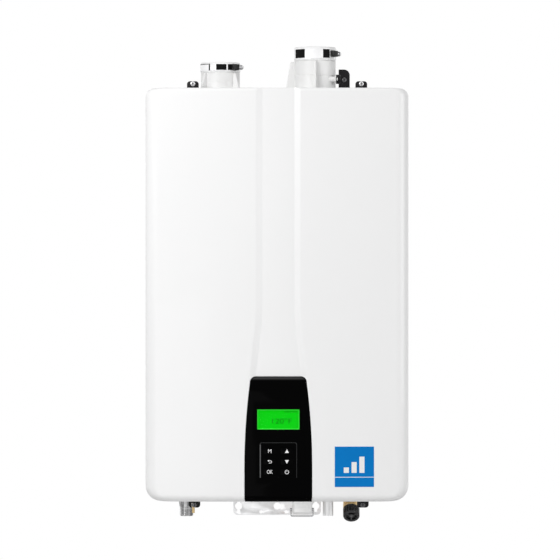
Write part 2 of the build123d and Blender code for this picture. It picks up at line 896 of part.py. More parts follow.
def fascia_side(inset, back):
    """Side profile of the fascia with its rounded foot, drawn across its width."""
    low = case_floor + inset
    front = front_y + inset
    radius = bottom_edge - inset
    bow = (1 - math.sqrt(1 / 2)) * radius
    lines = [
        Line((back, panel_top + overrun), (front, panel_top + overrun)),
        Line((front, panel_top + overrun), (front, low + radius)),
        ThreePointArc((front, low + radius), (front + bow, low + bow), (front + radius, low)),
        Line((front + radius, low), (back, low)),
        Line((back, low), (back, panel_top + overrun)),
    ]
    reach = panel_half + overrun
    face = Plane.YZ * make_face(Curve() + lines)
    return Pos(front_shift - reach, 0, 0) * extrude(face, amount=2 * reach)


def fascia_opening(grow):
    """Openings of the display window and the keys, through the fascia's plate."""
    y = (front_y - overrun, plate_back + overrun)
    z = panel_top - window_drop
    half = window_width / 2 + grow
    rise = window_height / 2 + grow
    cuts = [block((front_shift - half, front_shift + half), y, (z - rise, z + rise))]
    for row, column, x, key_z in key_places():
        cuts.append(key_prism(x, key_z, key_clearance, y[0], y[1]))
    return cuts


def key_prism(x, z, grow, start, end):
    """Rounded key outline drawn out between two depths."""
    face = RectangleRounded(key_width + 2 * grow, key_height + 2 * grow, key_corner + grow)
    face = Plane.XZ * (Pos(x, z) * face)
    return Pos(0, max(start, end), 0) * extrude(face, amount=abs(end - start))


def key_trim():
    """Raised line around the top and sides of the keypad."""
    half = trim_width / 2
    top = panel_top - trim_drop
    y = (front_y - trim_relief, front_y)
    outer = block((front_shift - half, front_shift + half), y, (top - trim_height, top))
    inner = block((front_shift - half + trim_line, front_shift + half - trim_line), y,
                  (top - trim_height, top - trim_line))
    return outer - inner


def control_fascia():
    """Black fascia: plate with returned sides, a sloping top and openings for the window and the keys."""
    outside = panel_prism(0, front_y, return_y) & fascia_side(0, return_y)
    inside = panel_prism(-fascia_wall, plate_back, return_y + overrun)
    inside = inside & fascia_side(fascia_wall, return_y + overrun)
    fascia = outside - inside
    bevel = Polyline(
        (front_y, panel_top - fascia_bevel_height),
        (front_y - overrun, panel_top - fascia_bevel_height),
        (front_y - overrun, panel_top + overrun),
        (front_y + fascia_bevel_depth, panel_top + overrun),
        (front_y + fascia_bevel_depth, panel_top),
        close=True,
    )
    wedge = Plane.YZ * make_face(bevel)
    fascia = fascia - Pos(-panel_half, 0, 0) * extrude(wedge, amount=2 * panel_half + 2 * front_shift)
    backing = fascia_bevel_height + fascia_plate
    lining = block((front_shift - panel_half_top + panel_corner,
                    front_shift + panel_half_top - panel_corner),
                   (plate_back, front_y + fascia_bevel_depth + fascia_wall), (panel_top - backing,
                                                                              panel_top))
    fascia = fascia + (lining & panel_prism(0, front_y, return_y)) - Pos(-panel_half, 0, 0) * extrude(
        wedge, amount=2 * panel_half + 2 * front_shift)
    for cut in fascia_opening(window_clearance):
        fascia = fascia - cut
    return fascia + key_trim()


def display_window():
    """Clear window, flush with the fascia."""
    z = panel_top - window_drop
    half = window_width / 2
    rise = window_height / 2
    return block((front_shift - half, front_shift + half), (front_y, plate_back), (z - rise, z + rise))


def display_module():
    """Display behind the window, standing on the keypad board."""
    z = panel_top - window_drop
    half = window_width / 2
    rise = window_height / 2
    return block((front_shift - half, front_shift + half), (plate_back, board_front), (z - rise, z + rise))


def keypad_board():
    """Board behind the keys, with a switch under each key."""
    inset = -(fascia_wall + board_inset)
    board = panel_prism(inset, board_front, board_front + board_thickness)
    floor = case_floor + bottom_edge
    board = board & block((-case_half, case_half), (front_y, split_y), (floor, panel_top))
    switch_front = key_back + key_travel + key_spare
    for row, column, x, z in key_places():
        board = board + rod((x, switch_front, z), (x, board_front, z), switch_radius)
    return board


def key(x, z):
    """One key: a rounded cap with a lip behind the fascia."""
    cap = key_prism(x, z, 0, front_y - key_proud, key_back)
    cap = fillet(cap.edges().group_by(Axis.Y)[0], key_proud / 2)
    lip_y = plate_back + key_travel / 4
    half = key_width / 2 + key_lip
    rise = key_height / 2 + key_lip
    return cap + block((x - half, x + half), (lip_y, lip_y + key_lip_thickness), (z - rise, z + rise))


def control_tray():
    """Bent tray that carries the fascia and its boards from the rear case's floor."""
    plate = panel_prism(-gap, return_y, return_y + tray_sheet)
    half = panel_half - gap
    shelf_top = case_floor + sheet + rim_clearance
    shelf = block((front_shift - half, front_shift + half), (return_y, split_y), (case_floor, shelf_top))
    tongue = block((front_shift - half, front_shift + half), (split_y, split_y - rim_length),
                   (case_floor, shelf_top))
    tray = plate + shelf + tongue
    for side in (-1, 1):
        x = front_shift + side * (panel_half - tray_gusset_inset)
        outline = Polyline((return_y, shelf_top), (split_y - rim_length - sheet, shelf_top),
                           (return_y, shelf_top + tray_gusset_height), close=True)
        web = Plane.YZ * make_face(outline)
        tray = tray + Pos(x - tray_sheet / 2, 0, 0) * extrude(web, amount=tray_sheet)
    reach = (panel_half_top - fascia_wall - board_inset) * post_share
    low = case_floor + bottom_edge + board_inset
    high = panel_top - fascia_wall - 2 * board_inset
    for x in (front_shift - reach, front_shift + reach):
        for z in (low, high):
            tray = tray + rod((x, board_front + board_thickness, z), (x, return_y, z), post_radius)
    return tray


def intake_duct():
    """Air duct from the collar down to the fan's inlet, with the gas mixing ring at its foot."""
    outer = intake_spigot_inner + spigot_wall + gap + duct_wall
    inner = intake_spigot_inner + spigot_wall + gap
    top = case_top - sheet
    middle = (top + fan_top) / 2
    duct = sleeve((intake_x, vent_y, middle), (intake_x, vent_y, top), outer, inner)
    ring = sleeve((intake_x, vent_y, fan_top), (intake_x, vent_y, middle), outer + duct_wall,
                  fan_inlet_radius)
    throat = rod((intake_x, vent_y, middle), (intake_x, vent_y, top), inner)
    return duct + (ring - throat)


def fan_shell(inset):
    """Fan housing with its outlet, or its inside when inset by the wall."""
    low = fan_bottom + inset
    high = fan_top - inset
    drum = rod((intake_x, vent_y, low), (intake_x, vent_y, high), fan_radius - inset)
    front = vent_y - fan_radius + inset
    end = exchanger_right - hood_width + (overrun if inset else 0)
    outlet = block((intake_x, end), (front, front + outlet_width - 2 * inset), (low, high))
    return drum + outlet


def fan_housing():
    """Hollow fan housing, open at the inlet, the outlet and the motor's shaft."""
    housing = fan_shell(0) - fan_shell(fan_wall)
    housing = housing - rod((intake_x, vent_y, fan_top - overrun), (intake_x, vent_y, fan_top + overrun),
                            fan_inlet_radius)
    return housing - rod((intake_x, vent_y, fan_bottom - overrun), (intake_x, vent_y, fan_bottom + overrun),
                         wheel_hub_radius)


def fan_motor():
    """Motor under the fan, with its shaft up into the wheel."""
    body = rod((intake_x, vent_y, fan_bottom - motor_height), (intake_x, vent_y, fan_bottom), motor_radius)
    body = fillet(body.edges().group_by(Axis.Z)[0], motor_radius / 6)
    shaft_end = fan_top - fan_wall - wheel_clearance - wheel_blade_depth / 2
    return body + rod((intake_x, vent_y, fan_bottom), (intake_x, vent_y, shaft_end), shaft_radius)


def fan_wheel():
    """Centrifugal wheel: disc, hub, blades and a ring over them."""
    low = fan_bottom + fan_wall + wheel_clearance
    high = fan_top - fan_wall - wheel_clearance
    wheel = rod((0, 0, low), (0, 0, low + wheel_disc), wheel_radius)
    wheel = wheel + rod((0, 0, low), (0, 0, high - wheel_blade_depth), wheel_hub_radius)
    wheel = wheel + sleeve((0, 0, high - wheel_disc), (0, 0, high), wheel_radius,
                           wheel_radius - wheel_blade_depth)
    inner = wheel_radius - wheel_blade_depth
    blade = block((inner, wheel_radius), (-wheel_blade_thickness / 2, wheel_blade_thickness / 2),
                  (low, high))
    for place in range(wheel_blades):
        wheel = wheel + Rot(0, 0, 360 / wheel_blades * place) * blade
    wheel = wheel & rod((0, 0, low), (0, 0, high), wheel_radius)
    wheel = wheel - rod((0, 0, low - overrun), (0, 0, high), shaft_radius + fit)
    return Pos(intake_x, vent_y, 0) * wheel


def burner_hood():
    """Hood that leads the mixture from the fan down over the burner."""
    front = vent_y - fan_radius
    left = exchanger_right - hood_width
    tower = block((left, exchanger_right), (exchanger_front, front + outlet_width), (hood_bottom, fan_top))
    plate = block((exchanger_left, exchanger_right), (exchanger_front, exchanger_back),
                  (primary_top, hood_bottom))
    wall = hood_wall
    tower_inside = block((left + wall, exchanger_right - wall),
                         (exchanger_front + wall, front + outlet_width - wall), (primary_top,
                                                                                 fan_top - wall))
    plate_inside = block((exchanger_left + wall, exchanger_right - wall),
                         (exchanger_front + wall, exchanger_back - wall), (primary_top, hood_bottom - wall))
    window = block((left - overrun, left + wall), (front + fan_wall, front + outlet_width - fan_wall),
                   (fan_bottom + fan_wall, fan_top - fan_wall))
    return tower + plate - tower_inside - plate_inside - window


def igniter():
    """Spark plug on the front of the burner."""
    x = exchanger_left / 2
    z = primary_top + hood_plate / 2
    flange = block((x - 3 * igniter_radius, x + 3 * igniter_radius),
                   (exchanger_front - hood_wall, exchanger_front), (z - 2 * igniter_radius,
                                                                    z + 2 * igniter_radius))
    return flange + rod((x, exchanger_front - igniter_length, z), (x, exchanger_front, z), igniter_radius)


def primary_exchanger():
    """Box with a bank of water tubes across the flame, and the outlet header."""
    walls = block((exchanger_left, exchanger_right), (exchanger_front, exchanger_back),
                  (primary_bottom, primary_top))
    wall = exchanger_wall
    walls = walls - block((exchanger_left + wall, exchanger_right - wall),
                          (exchanger_front + wall, exchanger_back - wall),
                          (primary_bottom - overrun, primary_top + overrun))
    body = walls
    for row in range(coil_rows):
        for column in range(coil_columns):
            z = primary_bottom + primary_height * (row + 1) / (coil_rows + 1)
            y = exchanger_front + (exchanger_back - exchanger_front) * (column + 1) / (coil_columns + 1)
            tube = sleeve((exchanger_left, y, z), (exchanger_right, y, z), coil_radius,
                          coil_radius - pipe_wall)
            body = body + tube
    low = primary_bottom + header_rise
    header = block((exchanger_right, exchanger_right + header_width), (header_front, header_back),
                   (low, low + header_height))
    return body + header


def secondary_exchanger():
    """Box of stainless plates that takes the last heat from the flue gas."""
    walls = block((exchanger_left, exchanger_right), (exchanger_front, exchanger_back),
                  (secondary_bottom, primary_bottom))
    wall = exchanger_wall
    body = walls - block((exchanger_left + wall, exchanger_right - wall),
                         (exchanger_front + wall, exchanger_back - wall),
                         (secondary_bottom - overrun, primary_bottom + overrun))
    pitch = (exchanger_right - exchanger_left) / (plate_count + 1)
    for place in range(plate_count):
        x = exchanger_left + pitch * (place + 1)
        body = body + block((x - plate_thickness / 2, x + plate_thickness / 2),
                            (exchanger_front + wall, exchanger_back - wall),
                            (secondary_bottom + wall, primary_bottom - wall))
    return body


def condensate_sump():
    """Tray that turns the flue gas to the duct and drains to the trap."""
    wall = exchanger_wall
    sump = block((exchanger_left, sump_right), (exchanger_front, exchanger_back),
                 (sump_bottom, secondary_bottom))
    sump = sump - block((exchanger_left + wall, sump_right - wall),
                        (exchanger_front + wall, exchanger_back - wall),
                        (sump_bottom + wall, secondary_bottom - wall))
    sump = sump - block((exchanger_left + wall, exchanger_right - wall),
                        (exchanger_front + wall, exchanger_back - wall),
                        (secondary_bottom - 2 * wall, secondary_bottom + overrun))
    sump = sump - rod((exhaust_x, vent_y, secondary_bottom - 2 * wall),
                      (exhaust_x, vent_y, secondary_bottom + overrun),
                      flue_radius - flue_wall)
    return sump - rod((trap_x, trap_y, sump_bottom - overrun),
                      (trap_x, trap_y, sump_bottom + wall + overrun),
                      hose_radius - hose_wall)


def exchanger_hangers():
    """Plates that hold the heat exchangers off the back of the case."""
    middle = (exchanger_left + exchanger_right) / 2
    span = (middle - hanger_width / 2, middle + hanger_width / 2)
    y = (exchanger_back, back_y - sheet)
    plates = []
    for z in ((primary_top + primary_bottom) / 2, (primary_bottom + secondary_bottom) / 2):
        plates.append(block(span, y, (z - hanger_sheet / 2, z + hanger_sheet / 2)))
    return plates


def flue_duct():
    """Duct from the sump up to the flue collar, with the seat and the pin of the backflow flap."""
    top = case_top - sheet
    duct = sleeve((exhaust_x, vent_y, secondary_bottom), (exhaust_x, vent_y, top), flue_radius,
                  flue_radius - flue_wall)
    seat_z = case_top - flap_seat_drop
    low = seat_z - flap_pin_radius - gap - flue_wall
    seat = sleeve((exhaust_x, vent_y, low), (exhaust_x, vent_y, low + flue_wall),
                  flue_radius - flue_wall / 2, seat_hole_radius)
    return duct + seat


def flue_flap():
    """Backflow flap that the flue gas lifts, with its pin."""
    z = case_top - flap_seat_drop
    pin_y = vent_y + flap_offset
    disc = rod((exhaust_x, vent_y, z - flap_thickness / 2), (exhaust_x, vent_y, z + flap_thickness / 2),
               flap_radius)
    disc = disc - block((exhaust_x - flap_radius, exhaust_x + flap_radius), (pin_y, pin_y + flap_radius),
                        (z - flap_thickness, z + flap_thickness))
    reach = math.sqrt((flue_radius - flue_wall) ** 2 - (flap_offset + flap_pin_radius) ** 2) - gap
    return disc + rod((exhaust_x - reach, pin_y, z), (exhaust_x + reach, pin_y, z), flap_pin_radius)


def nipple(x, y, drop, flange_radius, flange_height):
    """Threaded pipe end under the case, below a tapered collar."""
    low = case_floor - drop
    taper = Cone(nipple_radius + gap, flange_radius, flange_height, align=CENTRE_BOTTOM)
    body = rod((x, y, low), (x, y, case_floor), nipple_radius)
    return body + Pos(x, y, case_floor - flange_height) * taper


def gas_inlet():
    """Plated gas connection through the floor."""
    body = nipple(gas_x, water_y, gas_drop, gas_flange_radius, gas_flange_height)
    body = body + rod((gas_x, water_y, case_floor), (gas_x, water_y, gas_valve_bottom), nipple_radius)
    return body - rod((gas_x, water_y, case_floor - gas_drop - overrun),
                      (gas_x, water_y, gas_valve_bottom + overrun),
                      nipple_bore)


def gas_valve():
    """Gas valve with its two solenoids."""
    half = gas_valve_width / 2
    front = water_y - gas_valve_depth / 2
    body = block((gas_x - half, gas_x + half), (front, front + gas_valve_depth),
                 (gas_valve_bottom, gas_valve_top))
    for share in (1 / 4, 3 / 4):
        z = gas_valve_bottom + gas_valve_height * share
        body = body + rod((gas_x, front - solenoid_length, z), (gas_x, front, z), solenoid_radius)
    return body


def gas_pipe():
    """Pipe from the gas valve up to the mixing ring."""
    middle_z = (case_top - sheet + fan_top) / 2
    turn_z = fan_top + (middle_z - fan_top) / 2
    ring = intake_spigot_inner + spigot_wall + gap + 2 * duct_wall
    away = Vector(gas_x - intake_x, water_y - vent_y, 0).normalized()
    end = Vector(intake_x, vent_y, turn_z) + away * ring
    points = [(gas_x, water_y, gas_valve_top), (gas_x, water_y, turn_z), tuple(end)]
    return pipe(points, pipe_bend, pipe_radius, pipe_wall)


def filter_axis(reach):
    """Point on the filter's axis, at a distance from where it leaves the inlet body."""
    angle = math.radians(filter_angle)
    start = Vector(cold_x, water_y - filter_offset, case_floor)
    return start + Vector(0, -math.cos(angle), -math.sin(angle)) * reach


def cold_inlet():
    """Brass cold inlet with the forward-sloping branch for the filter."""
    body = nipple(cold_x, water_y, cold_drop, cold_flange_radius, cold_flange_height)
    body = body + rod((cold_x, water_y, case_floor), (cold_x, water_y, sensor_bottom), cold_body_radius)
    lobe_y = water_y - filter_offset
    body = body + rod((cold_x, lobe_y, case_floor - filter_lobe_drop), (cold_x, lobe_y, sensor_bottom),
                      filter_lobe_radius)
    seat = case_floor + sheet
    body = body + block((cold_x - 2 * cold_body_radius, cold_x + 2 * cold_body_radius),
                        (lobe_y - cold_body_radius, water_y), (seat, seat + cold_plate_thickness))
    body = body + rod(tuple(filter_axis(0)), tuple(filter_axis(filter_reach)), filter_radius)
    body = body - rod((cold_x, water_y, case_floor - cold_drop - overrun),
                      (cold_x, water_y, sensor_bottom + overrun),
                      nipple_bore)
    return body - rod(tuple(filter_axis(0)), tuple(filter_axis(filter_reach + overrun)), filter_bore)


def filter_cap():
    """Fluted screw cap of the inlet filter."""
    low = filter_axis(filter_reach - filter_cap_cover)
    place = Plane(origin=low, x_dir=(1, 0, 0), z_dir=filter_axis(1) - filter_axis(0))
    length = filter_cap_length
    cap = Cylinder(filter_cap_radius, length, align=CENTRE_BOTTOM)
    cap = fillet(cap.edges().group_by(Axis.Z)[-1], filter_flute_radius)
    skirt = length - filter_cap_wall
    cap = cap - Cylinder(filter_radius + gap, skirt, align=CENTRE_BOTTOM)
    for place_index in range(filter_cap_flutes):
        angle = 2 * math.pi / filter_cap_flutes * place_index
        x = filter_cap_radius * math.cos(angle)
        y = filter_cap_radius * math.sin(angle)
        cap = cap - Pos(x, y, 0) * Cylinder(filter_flute_radius, length, align=CENTRE_BOTTOM)
    well = Pos(0, 0, length) * Cylinder(filter_cap_radius * 3 / 5, filter_cap_wall, align=Align.CENTER)
    bar = Pos(0, 0, length - filter_cap_wall / 4) * Box(
        filter_cap_radius, filter_cap_wall, filter_cap_wall / 2, align=Align.CENTER)
    return place.location * (cap - well + bar)


def strainer():
    """Strainer basket inside the branch, behind the cap."""
    start = filter_reach - strainer_length
    end = filter_reach - filter_cap_cover + filter_cap_length - filter_cap_wall - gap
    body = sleeve(tuple(filter_axis(start)), tuple(filter_axis(end)), strainer_radius,
                  strainer_radius - strainer_wall)
    return body + rod(tuple(filter_axis(start)), tuple(filter_axis(start + strainer_wall)), strainer_radius)


def flow_sensor():
    """Flow sensor on the cold inlet, with its lead box."""
    body = rod((cold_x, water_y, sensor_bottom), (cold_x, water_y, sensor_top), sensor_radius)
    body = body - rod((cold_x, water_y, sensor_bottom), (cold_x, water_y, sensor_top - sensor_cap),
                      nipple_bore)
    body = body - rod((cold_x, water_y, sensor_bottom), (cold_x, water_y, sensor_top),
                      pipe_radius - pipe_wall)
    middle = (sensor_bottom + sensor_top) / 2
    box = block((cold_x - sensor_radius / 2, cold_x + sensor_radius / 2),
                (water_y - sensor_radius * 3 / 2, water_y - sensor_radius * 3 / 4),
                (middle - sensor_radius / 2, middle + sensor_radius / 2))
    return body + box


def flow_turbine():
    """Turbine wheel in the flow sensor's bore."""
    middle = (sensor_bottom + sensor_top) / 2
    low = middle - turbine_height / 2
    wheel = rod((0, 0, low), (0, 0, low + turbine_height), turbine_hub)
    reach = nipple_bore - turbine_clearance
    blade = block((0, reach), (-wheel_blade_thickness / 2, wheel_blade_thickness / 2),
                  (low, low + turbine_height))
    for place in range(turbine_blades):
        wheel = wheel + Rot(0, 0, 360 / turbine_blades * place) * blade
    return Pos(cold_x, water_y, 0) * (wheel & rod((0, 0, low), (0, 0, low + turbine_height), reach))


def cold_pipe():
    """Cold pipe from the flow sensor to the secondary exchanger, with the branch to the mixing valve."""
    entry_z = cold_entry_z
    points = [(cold_x, water_y, sensor_top), (cold_x, water_y, entry_z), (exchanger_right, water_y, entry_z)]
    main = pipe(points, pipe_bend, pipe_radius, pipe_wall)
    branch_z = case_floor + bypass_rise
    branch = sleeve((mixer_right, water_y, branch_z),
                    (cold_x - pipe_radius + pipe_wall / 2, water_y, branch_z),
                    pipe_radius, pipe_radius - pipe_wall)
    return main + (branch - rod((cold_x, water_y, sensor_top), (cold_x, water_y, entry_z),
                                pipe_radius - pipe_wall / 2))


def mixing_valve():
    """Mixing valve between hot and cold, with its step motor at the side."""
    valve = block((mixer_left, mixer_right), (mixer_front, mixer_back), (mixer_bottom, mixer_top))
    z = (mixer_bottom + mixer_top) / 2
    y = (mixer_front + mixer_back) / 2
    valve = valve + rod((mixer_left - mixer_motor_length, y, z), (mixer_left, y, z), mixer_motor_radius)
    bore_start = mixer_left - overrun
    return valve - rod((bore_start, y, z), (bore_start + spindle_length + 2 * gap, y, z),
                       spindle_radius + fit)


def mixing_spindle():
    """Spindle that shares the flow between hot and cold, with a port across it."""
    z = (mixer_bottom + mixer_top) / 2
    y = (mixer_front + mixer_back) / 2
    start = mixer_left - overrun + gap
    body = rod((start, y, z), (start + spindle_length, y, z), spindle_radius)
    port_x = start + spindle_length * 3 / 4
    port = rod((port_x, y, z - spindle_radius), (port_x, y, z + spindle_radius), spindle_radius / 2)
    return body - port


def hot_pipe():
    """Hot pipe from the header down to the mixing valve, and the hot outlet under the valve."""
    top = primary_bottom + header_rise
    upper = sleeve((hot_x, hot_y, mixer_top), (hot_x, hot_y, top), pipe_radius, pipe_radius - pipe_wall)
    low = case_floor - hot_drop
    outlet = nipple(hot_x, hot_y, hot_drop, nipple_radius + gap + pipe_wall, hot_flange_height)
    outlet = outlet + rod((hot_x, hot_y, case_floor), (hot_x, hot_y, mixer_bottom), nipple_radius)
    outlet = outlet - rod((hot_x, hot_y, low - overrun), (hot_x, hot_y, mixer_bottom + overrun), nipple_bore)
    return [upper, outlet]


def trap_shape(inset):
    """Condensate trap's box with rounded lower corners, or its inside."""
    half = trap_width / 2 - inset
    y = (trap_front + inset, trap_front + trap_depth - inset)
    box = block((trap_x - half, trap_x + half), y, (trap_bottom + inset, trap_top - inset))
    box = fillet(box.edges().filter_by(Axis.Y).group_by(Axis.Z)[0], trap_corner - inset)
    front_edge = box.edges().group_by(Axis.Z)[0].group_by(Axis.Y)[0]
    if inset == 0:
        box = chamfer(front_edge, trap_front_corner)
    return box


def trap_body():
    """Condensate trap through the floor, with its flange, inlet and bail pivots."""
    box = trap_shape(0) - trap_shape(trap_wall)
    low = case_floor + sheet + rim_clearance
    half = trap_width / 2 + trap_flange
    flange = block((trap_x - half, trap_x + half),
                   (trap_front - trap_flange, trap_front + trap_depth + trap_flange),
                   (case_floor + sheet, case_floor + sheet + trap_flange_thickness))
    inner = block((trap_x - trap_width / 2 + trap_wall, trap_x + trap_width / 2 - trap_wall),
                  (trap_front + trap_wall, trap_front + trap_depth - trap_wall), (low, trap_top - trap_wall))
    body = box + (flange - inner)
    body = body + sleeve((trap_x, trap_y, trap_top), (trap_x, trap_y, trap_top + trap_nipple_height),
                         trap_nipple_radius, trap_nipple_radius - trap_wall)
    body = body - rod((trap_x, trap_y, trap_top - trap_wall - overrun), (trap_x, trap_y, trap_top + overrun),
                      trap_nipple_radius - trap_wall)
    side_x = trap_x + trap_width / 2
    return body - rod((side_x - trap_wall - overrun, trap_y, case_floor + drain_rise),
                      (side_x + overrun, trap_y, case_floor + drain_rise), drain_radius - drain_wall)


def trap_bail():
    """Wire bail around the foot of the trap, turning in two eyes at its sides."""
    z = trap_bottom + bail_pivot_rise
    y = trap_front + bail_pivot_setback
    low = z - bail_swing
    left = trap_x - trap_width / 2 - bail_side_gap - bail_eye_half
    right = trap_x + trap_width / 2 + bail_side_gap + bail_eye_half
    path = FilletPolyline((left, y, z), (left, y, low), (right, y, low), (right, y, z),
                          radius=2 * bail_radius)
    place = Plane(origin=path @ 0, z_dir=path % 0)
    wire = sweep(place * Circle(bail_radius), path=path)
    for x in (left, right):
        wire = wire + rod((x - bail_eye_half, y, z), (x + bail_eye_half, y, z), bail_eye_radius)
    return wire


def trap_hose():
    """Hose from the sump down over the trap's inlet."""
    top = trap_top + trap_nipple_height
    lower = sleeve((trap_x, trap_y, trap_top), (trap_x, trap_y, top), hose_radius, trap_nipple_radius)
    return lower + sleeve((trap_x, trap_y, top), (trap_x, trap_y, sump_bottom), hose_radius,
                          hose_radius - hose_wall)


def condensate_outlet():
    """Drain elbow from the side of the trap down through the floor."""
    z = case_floor + drain_rise
    start = trap_x + trap_width / 2
    points = [(start, trap_y, z), (drain_x, trap_y, z), (drain_x, trap_y, case_floor - drain_drop)]
    bead_z = case_floor - drain_bead_drop
    bead = sleeve((drain_x, trap_y, bead_z - drain_wall), (drain_x, trap_y, bead_z),
                  drain_radius + drain_bead,
                  drain_radius - drain_wall)
    return pipe(points, drain_bend, drain_radius, drain_wall) + bead


def board_box():
    """Open plastic box on the back of the case for the main board."""
    low = case_floor + board_rise
    y = (back_y - sheet - board_depth, back_y - sheet)
    box = block((board_left, board_right), y, (low, low + board_height))
    wall = board_wall
    return box - block((board_left + wall, board_right - wall), (y[0] - overrun, y[1] - wall),
                       (low + wall, low + board_height - wall))


def main_board():
    """Main board on posts in its box, with its larger components."""
    wall = board_wall + gap
    low = case_floor + board_rise
    back = back_y - sheet - board_wall
    x = (board_left + wall, board_right - wall)
    z = (low + wall, low + board_height - wall)
    rear = back - board_post
    board = block(x, (rear - board_thickness, rear), z)
    for x_place in (x[0] + board_post, x[1] - board_post):
        for z_place in (z[0] + board_post, z[1] - board_post):
            board = board + rod((x_place, rear, z_place), (x_place, back, z_place), board_post / 2)
    front = rear - board_thickness
    width = x[1] - x[0]
    height = z[1] - z[0]
    for share_x, share_z, size_share in chip_shares:
        half = width * size_share / 2
        centre_x = x[0] + width * share_x
        centre_z = z[0] + height * share_z
        board = board + block((centre_x - half, centre_x + half), (front - chip_height, front),
                              (centre_z - half / 2, centre_z + half / 2))
    return board


def cable_gland():
    """Cable gland in the floor with its nut and its bore."""
    low = case_floor - gland_drop
    top = case_floor + sheet
    body = rod((gland_x, water_y, low), (gland_x, water_y, case_floor), gland_radius)
    body = body + rod((gland_x, water_y, case_floor), (gland_x, water_y, top + gland_rise), gland_hole - fit)
    nut = extrude(RegularPolygon(gland_radius, 6, major_radius=False), amount=gland_rise / 2)
    body = body + Pos(gland_x, water_y, top) * nut
    return body - rod((gland_x, water_y, low - overrun), (gland_x, water_y, top + gland_rise + overrun),
                      gland_hole / 2)


def ground_stud():
    """Brass earthing stud under the floor, behind the notch in the cover's lug."""
    head = rod((stud_x, stud_y, case_floor + sheet), (stud_x, stud_y, case_floor + sheet + stud_radius),
               2 * stud_radius)
    return head + rod((stud_x, stud_y, case_floor - stud_drop), (stud_x, stud_y, case_floor + sheet),
                      stud_radius)


def all_parts():
    """Every piece under its own name."""
    parts = {
        "upper_wall_bracket": upper_wall_bracket(),
        "lower_wall_bracket": lower_wall_bracket(),
        "rear_case": rear_case(),
        "case_gasket": case_gasket(),
        "case_lugs": case_lugs(),
        "intake_collar": intake_collar(),
        "exhaust_collar": exhaust_collar(),
        "collar_seals": collar_seals(),
        "intake_band": band(intake_x, intake_outer, intake_barrel_height, intake_height, intake_band_angle),
        "exhaust_band": band(exhaust_x, exhaust_outer, exhaust_barrel_height, exhaust_height,
                             exhaust_band_angle),
        "top_screws": top_screws(),
        "vent_bracket": vent_bracket(),
        "port_cap": port_cap(),
        "intake_duct": intake_duct(),
        "fan_housing": fan_housing(),
        "fan_motor": fan_motor(),
        "fan_wheel": fan_wheel(),
        "burner_hood": burner_hood(),
        "igniter": igniter(),
        "primary_exchanger": primary_exchanger(),
        "secondary_exchanger": secondary_exchanger(),
        "exchanger_hangers": exchanger_hangers(),
        "condensate_sump": condensate_sump(),
        "flue_duct": flue_duct(),
        "flue_flap": flue_flap(),
        "gas_inlet": gas_inlet(),
        "gas_valve": gas_valve(),
        "gas_pipe": gas_pipe(),
        "cold_inlet": cold_inlet(),
        "filter_cap": filter_cap(),
        "strainer": strainer(),
        "flow_sensor": flow_sensor(),
        "flow_turbine": flow_turbine(),
        "cold_pipe": cold_pipe(),
        "mixing_valve": mixing_valve(),
        "mixing_spindle": mixing_spindle(),
        "hot_pipe": hot_pipe(),
        "trap_body": trap_body(),
        "trap_bail": trap_bail(),
        "trap_hose": trap_hose(),
        "condensate_outlet": condensate_outlet(),
        "board_box": board_box(),
        "main_board": main_board(),
        "cable_gland": cable_gland(),
        "ground_stud": ground_stud(),
        "control_tray": control_tray(),
        "control_fascia": control_fascia(),
        "display_window": display_window(),
        "display_module": display_module(),
        "keypad_board": keypad_board(),
        "front_cover": front_cover(),
        "cover_lugs": cover_lugs(),
        "cover_screws": cover_screws(),
        "cover_label": cover_label(),
    }
    for row, column, x, z in key_places():
        parts[f"key_{row + 1}_{column + 1}"] = key(x, z)
    return parts


def write_parts():
    """Write each piece to its own file."""
    os.makedirs("parts", exist_ok=True)
    for name, shape in all_parts().items():
        pieces = shape if isinstance(shape, list) else [shape]
        solids = [solid for piece in pieces for solid in piece.solids()]
        whole = solids[0] if len(solids) == 1 else Compound(children=solids)
        export_step(whole, f"parts/{name}.step")


write_parts()
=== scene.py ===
"""Wall-hung condensing water heater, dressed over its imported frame."""

import json
import logging
import math
from dataclasses import dataclass
from enum import Enum
from typing import Callable, Iterable, Sequence

import bmesh
import bpy
from mathutils import Matrix, Vector

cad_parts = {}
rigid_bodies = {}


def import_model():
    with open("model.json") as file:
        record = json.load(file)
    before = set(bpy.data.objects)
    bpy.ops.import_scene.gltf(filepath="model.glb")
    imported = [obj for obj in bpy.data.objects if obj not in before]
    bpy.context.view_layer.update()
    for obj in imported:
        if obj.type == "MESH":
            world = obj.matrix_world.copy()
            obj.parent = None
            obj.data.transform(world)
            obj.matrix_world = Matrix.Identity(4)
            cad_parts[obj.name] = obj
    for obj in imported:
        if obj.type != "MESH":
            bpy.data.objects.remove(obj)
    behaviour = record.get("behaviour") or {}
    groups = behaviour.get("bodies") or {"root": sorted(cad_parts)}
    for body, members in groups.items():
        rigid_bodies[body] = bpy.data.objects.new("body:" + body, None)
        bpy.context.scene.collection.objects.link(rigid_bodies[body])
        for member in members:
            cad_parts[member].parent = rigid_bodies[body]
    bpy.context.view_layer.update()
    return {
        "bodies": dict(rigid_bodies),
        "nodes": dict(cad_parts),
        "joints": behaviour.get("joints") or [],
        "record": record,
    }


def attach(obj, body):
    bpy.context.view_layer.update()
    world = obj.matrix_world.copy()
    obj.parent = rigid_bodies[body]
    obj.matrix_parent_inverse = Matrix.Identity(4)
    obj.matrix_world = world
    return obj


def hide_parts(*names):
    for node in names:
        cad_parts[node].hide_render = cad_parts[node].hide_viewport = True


LOG = logging.getLogger("water_heater")
Point = tuple[float, float, float]
Pair = tuple[float, float]
Colour = tuple[float, float, float]
Shape = bmesh.types.BMesh
Piece = bpy.types.Object
WELD = 1e-7  # Distance in metres within which vertices become one.
SMOOTH = 35.0  # Usual angle in degrees below which edges shade smooth.
HAIR = 0.00002  # Thickness in metres of marks that lie on a surface.


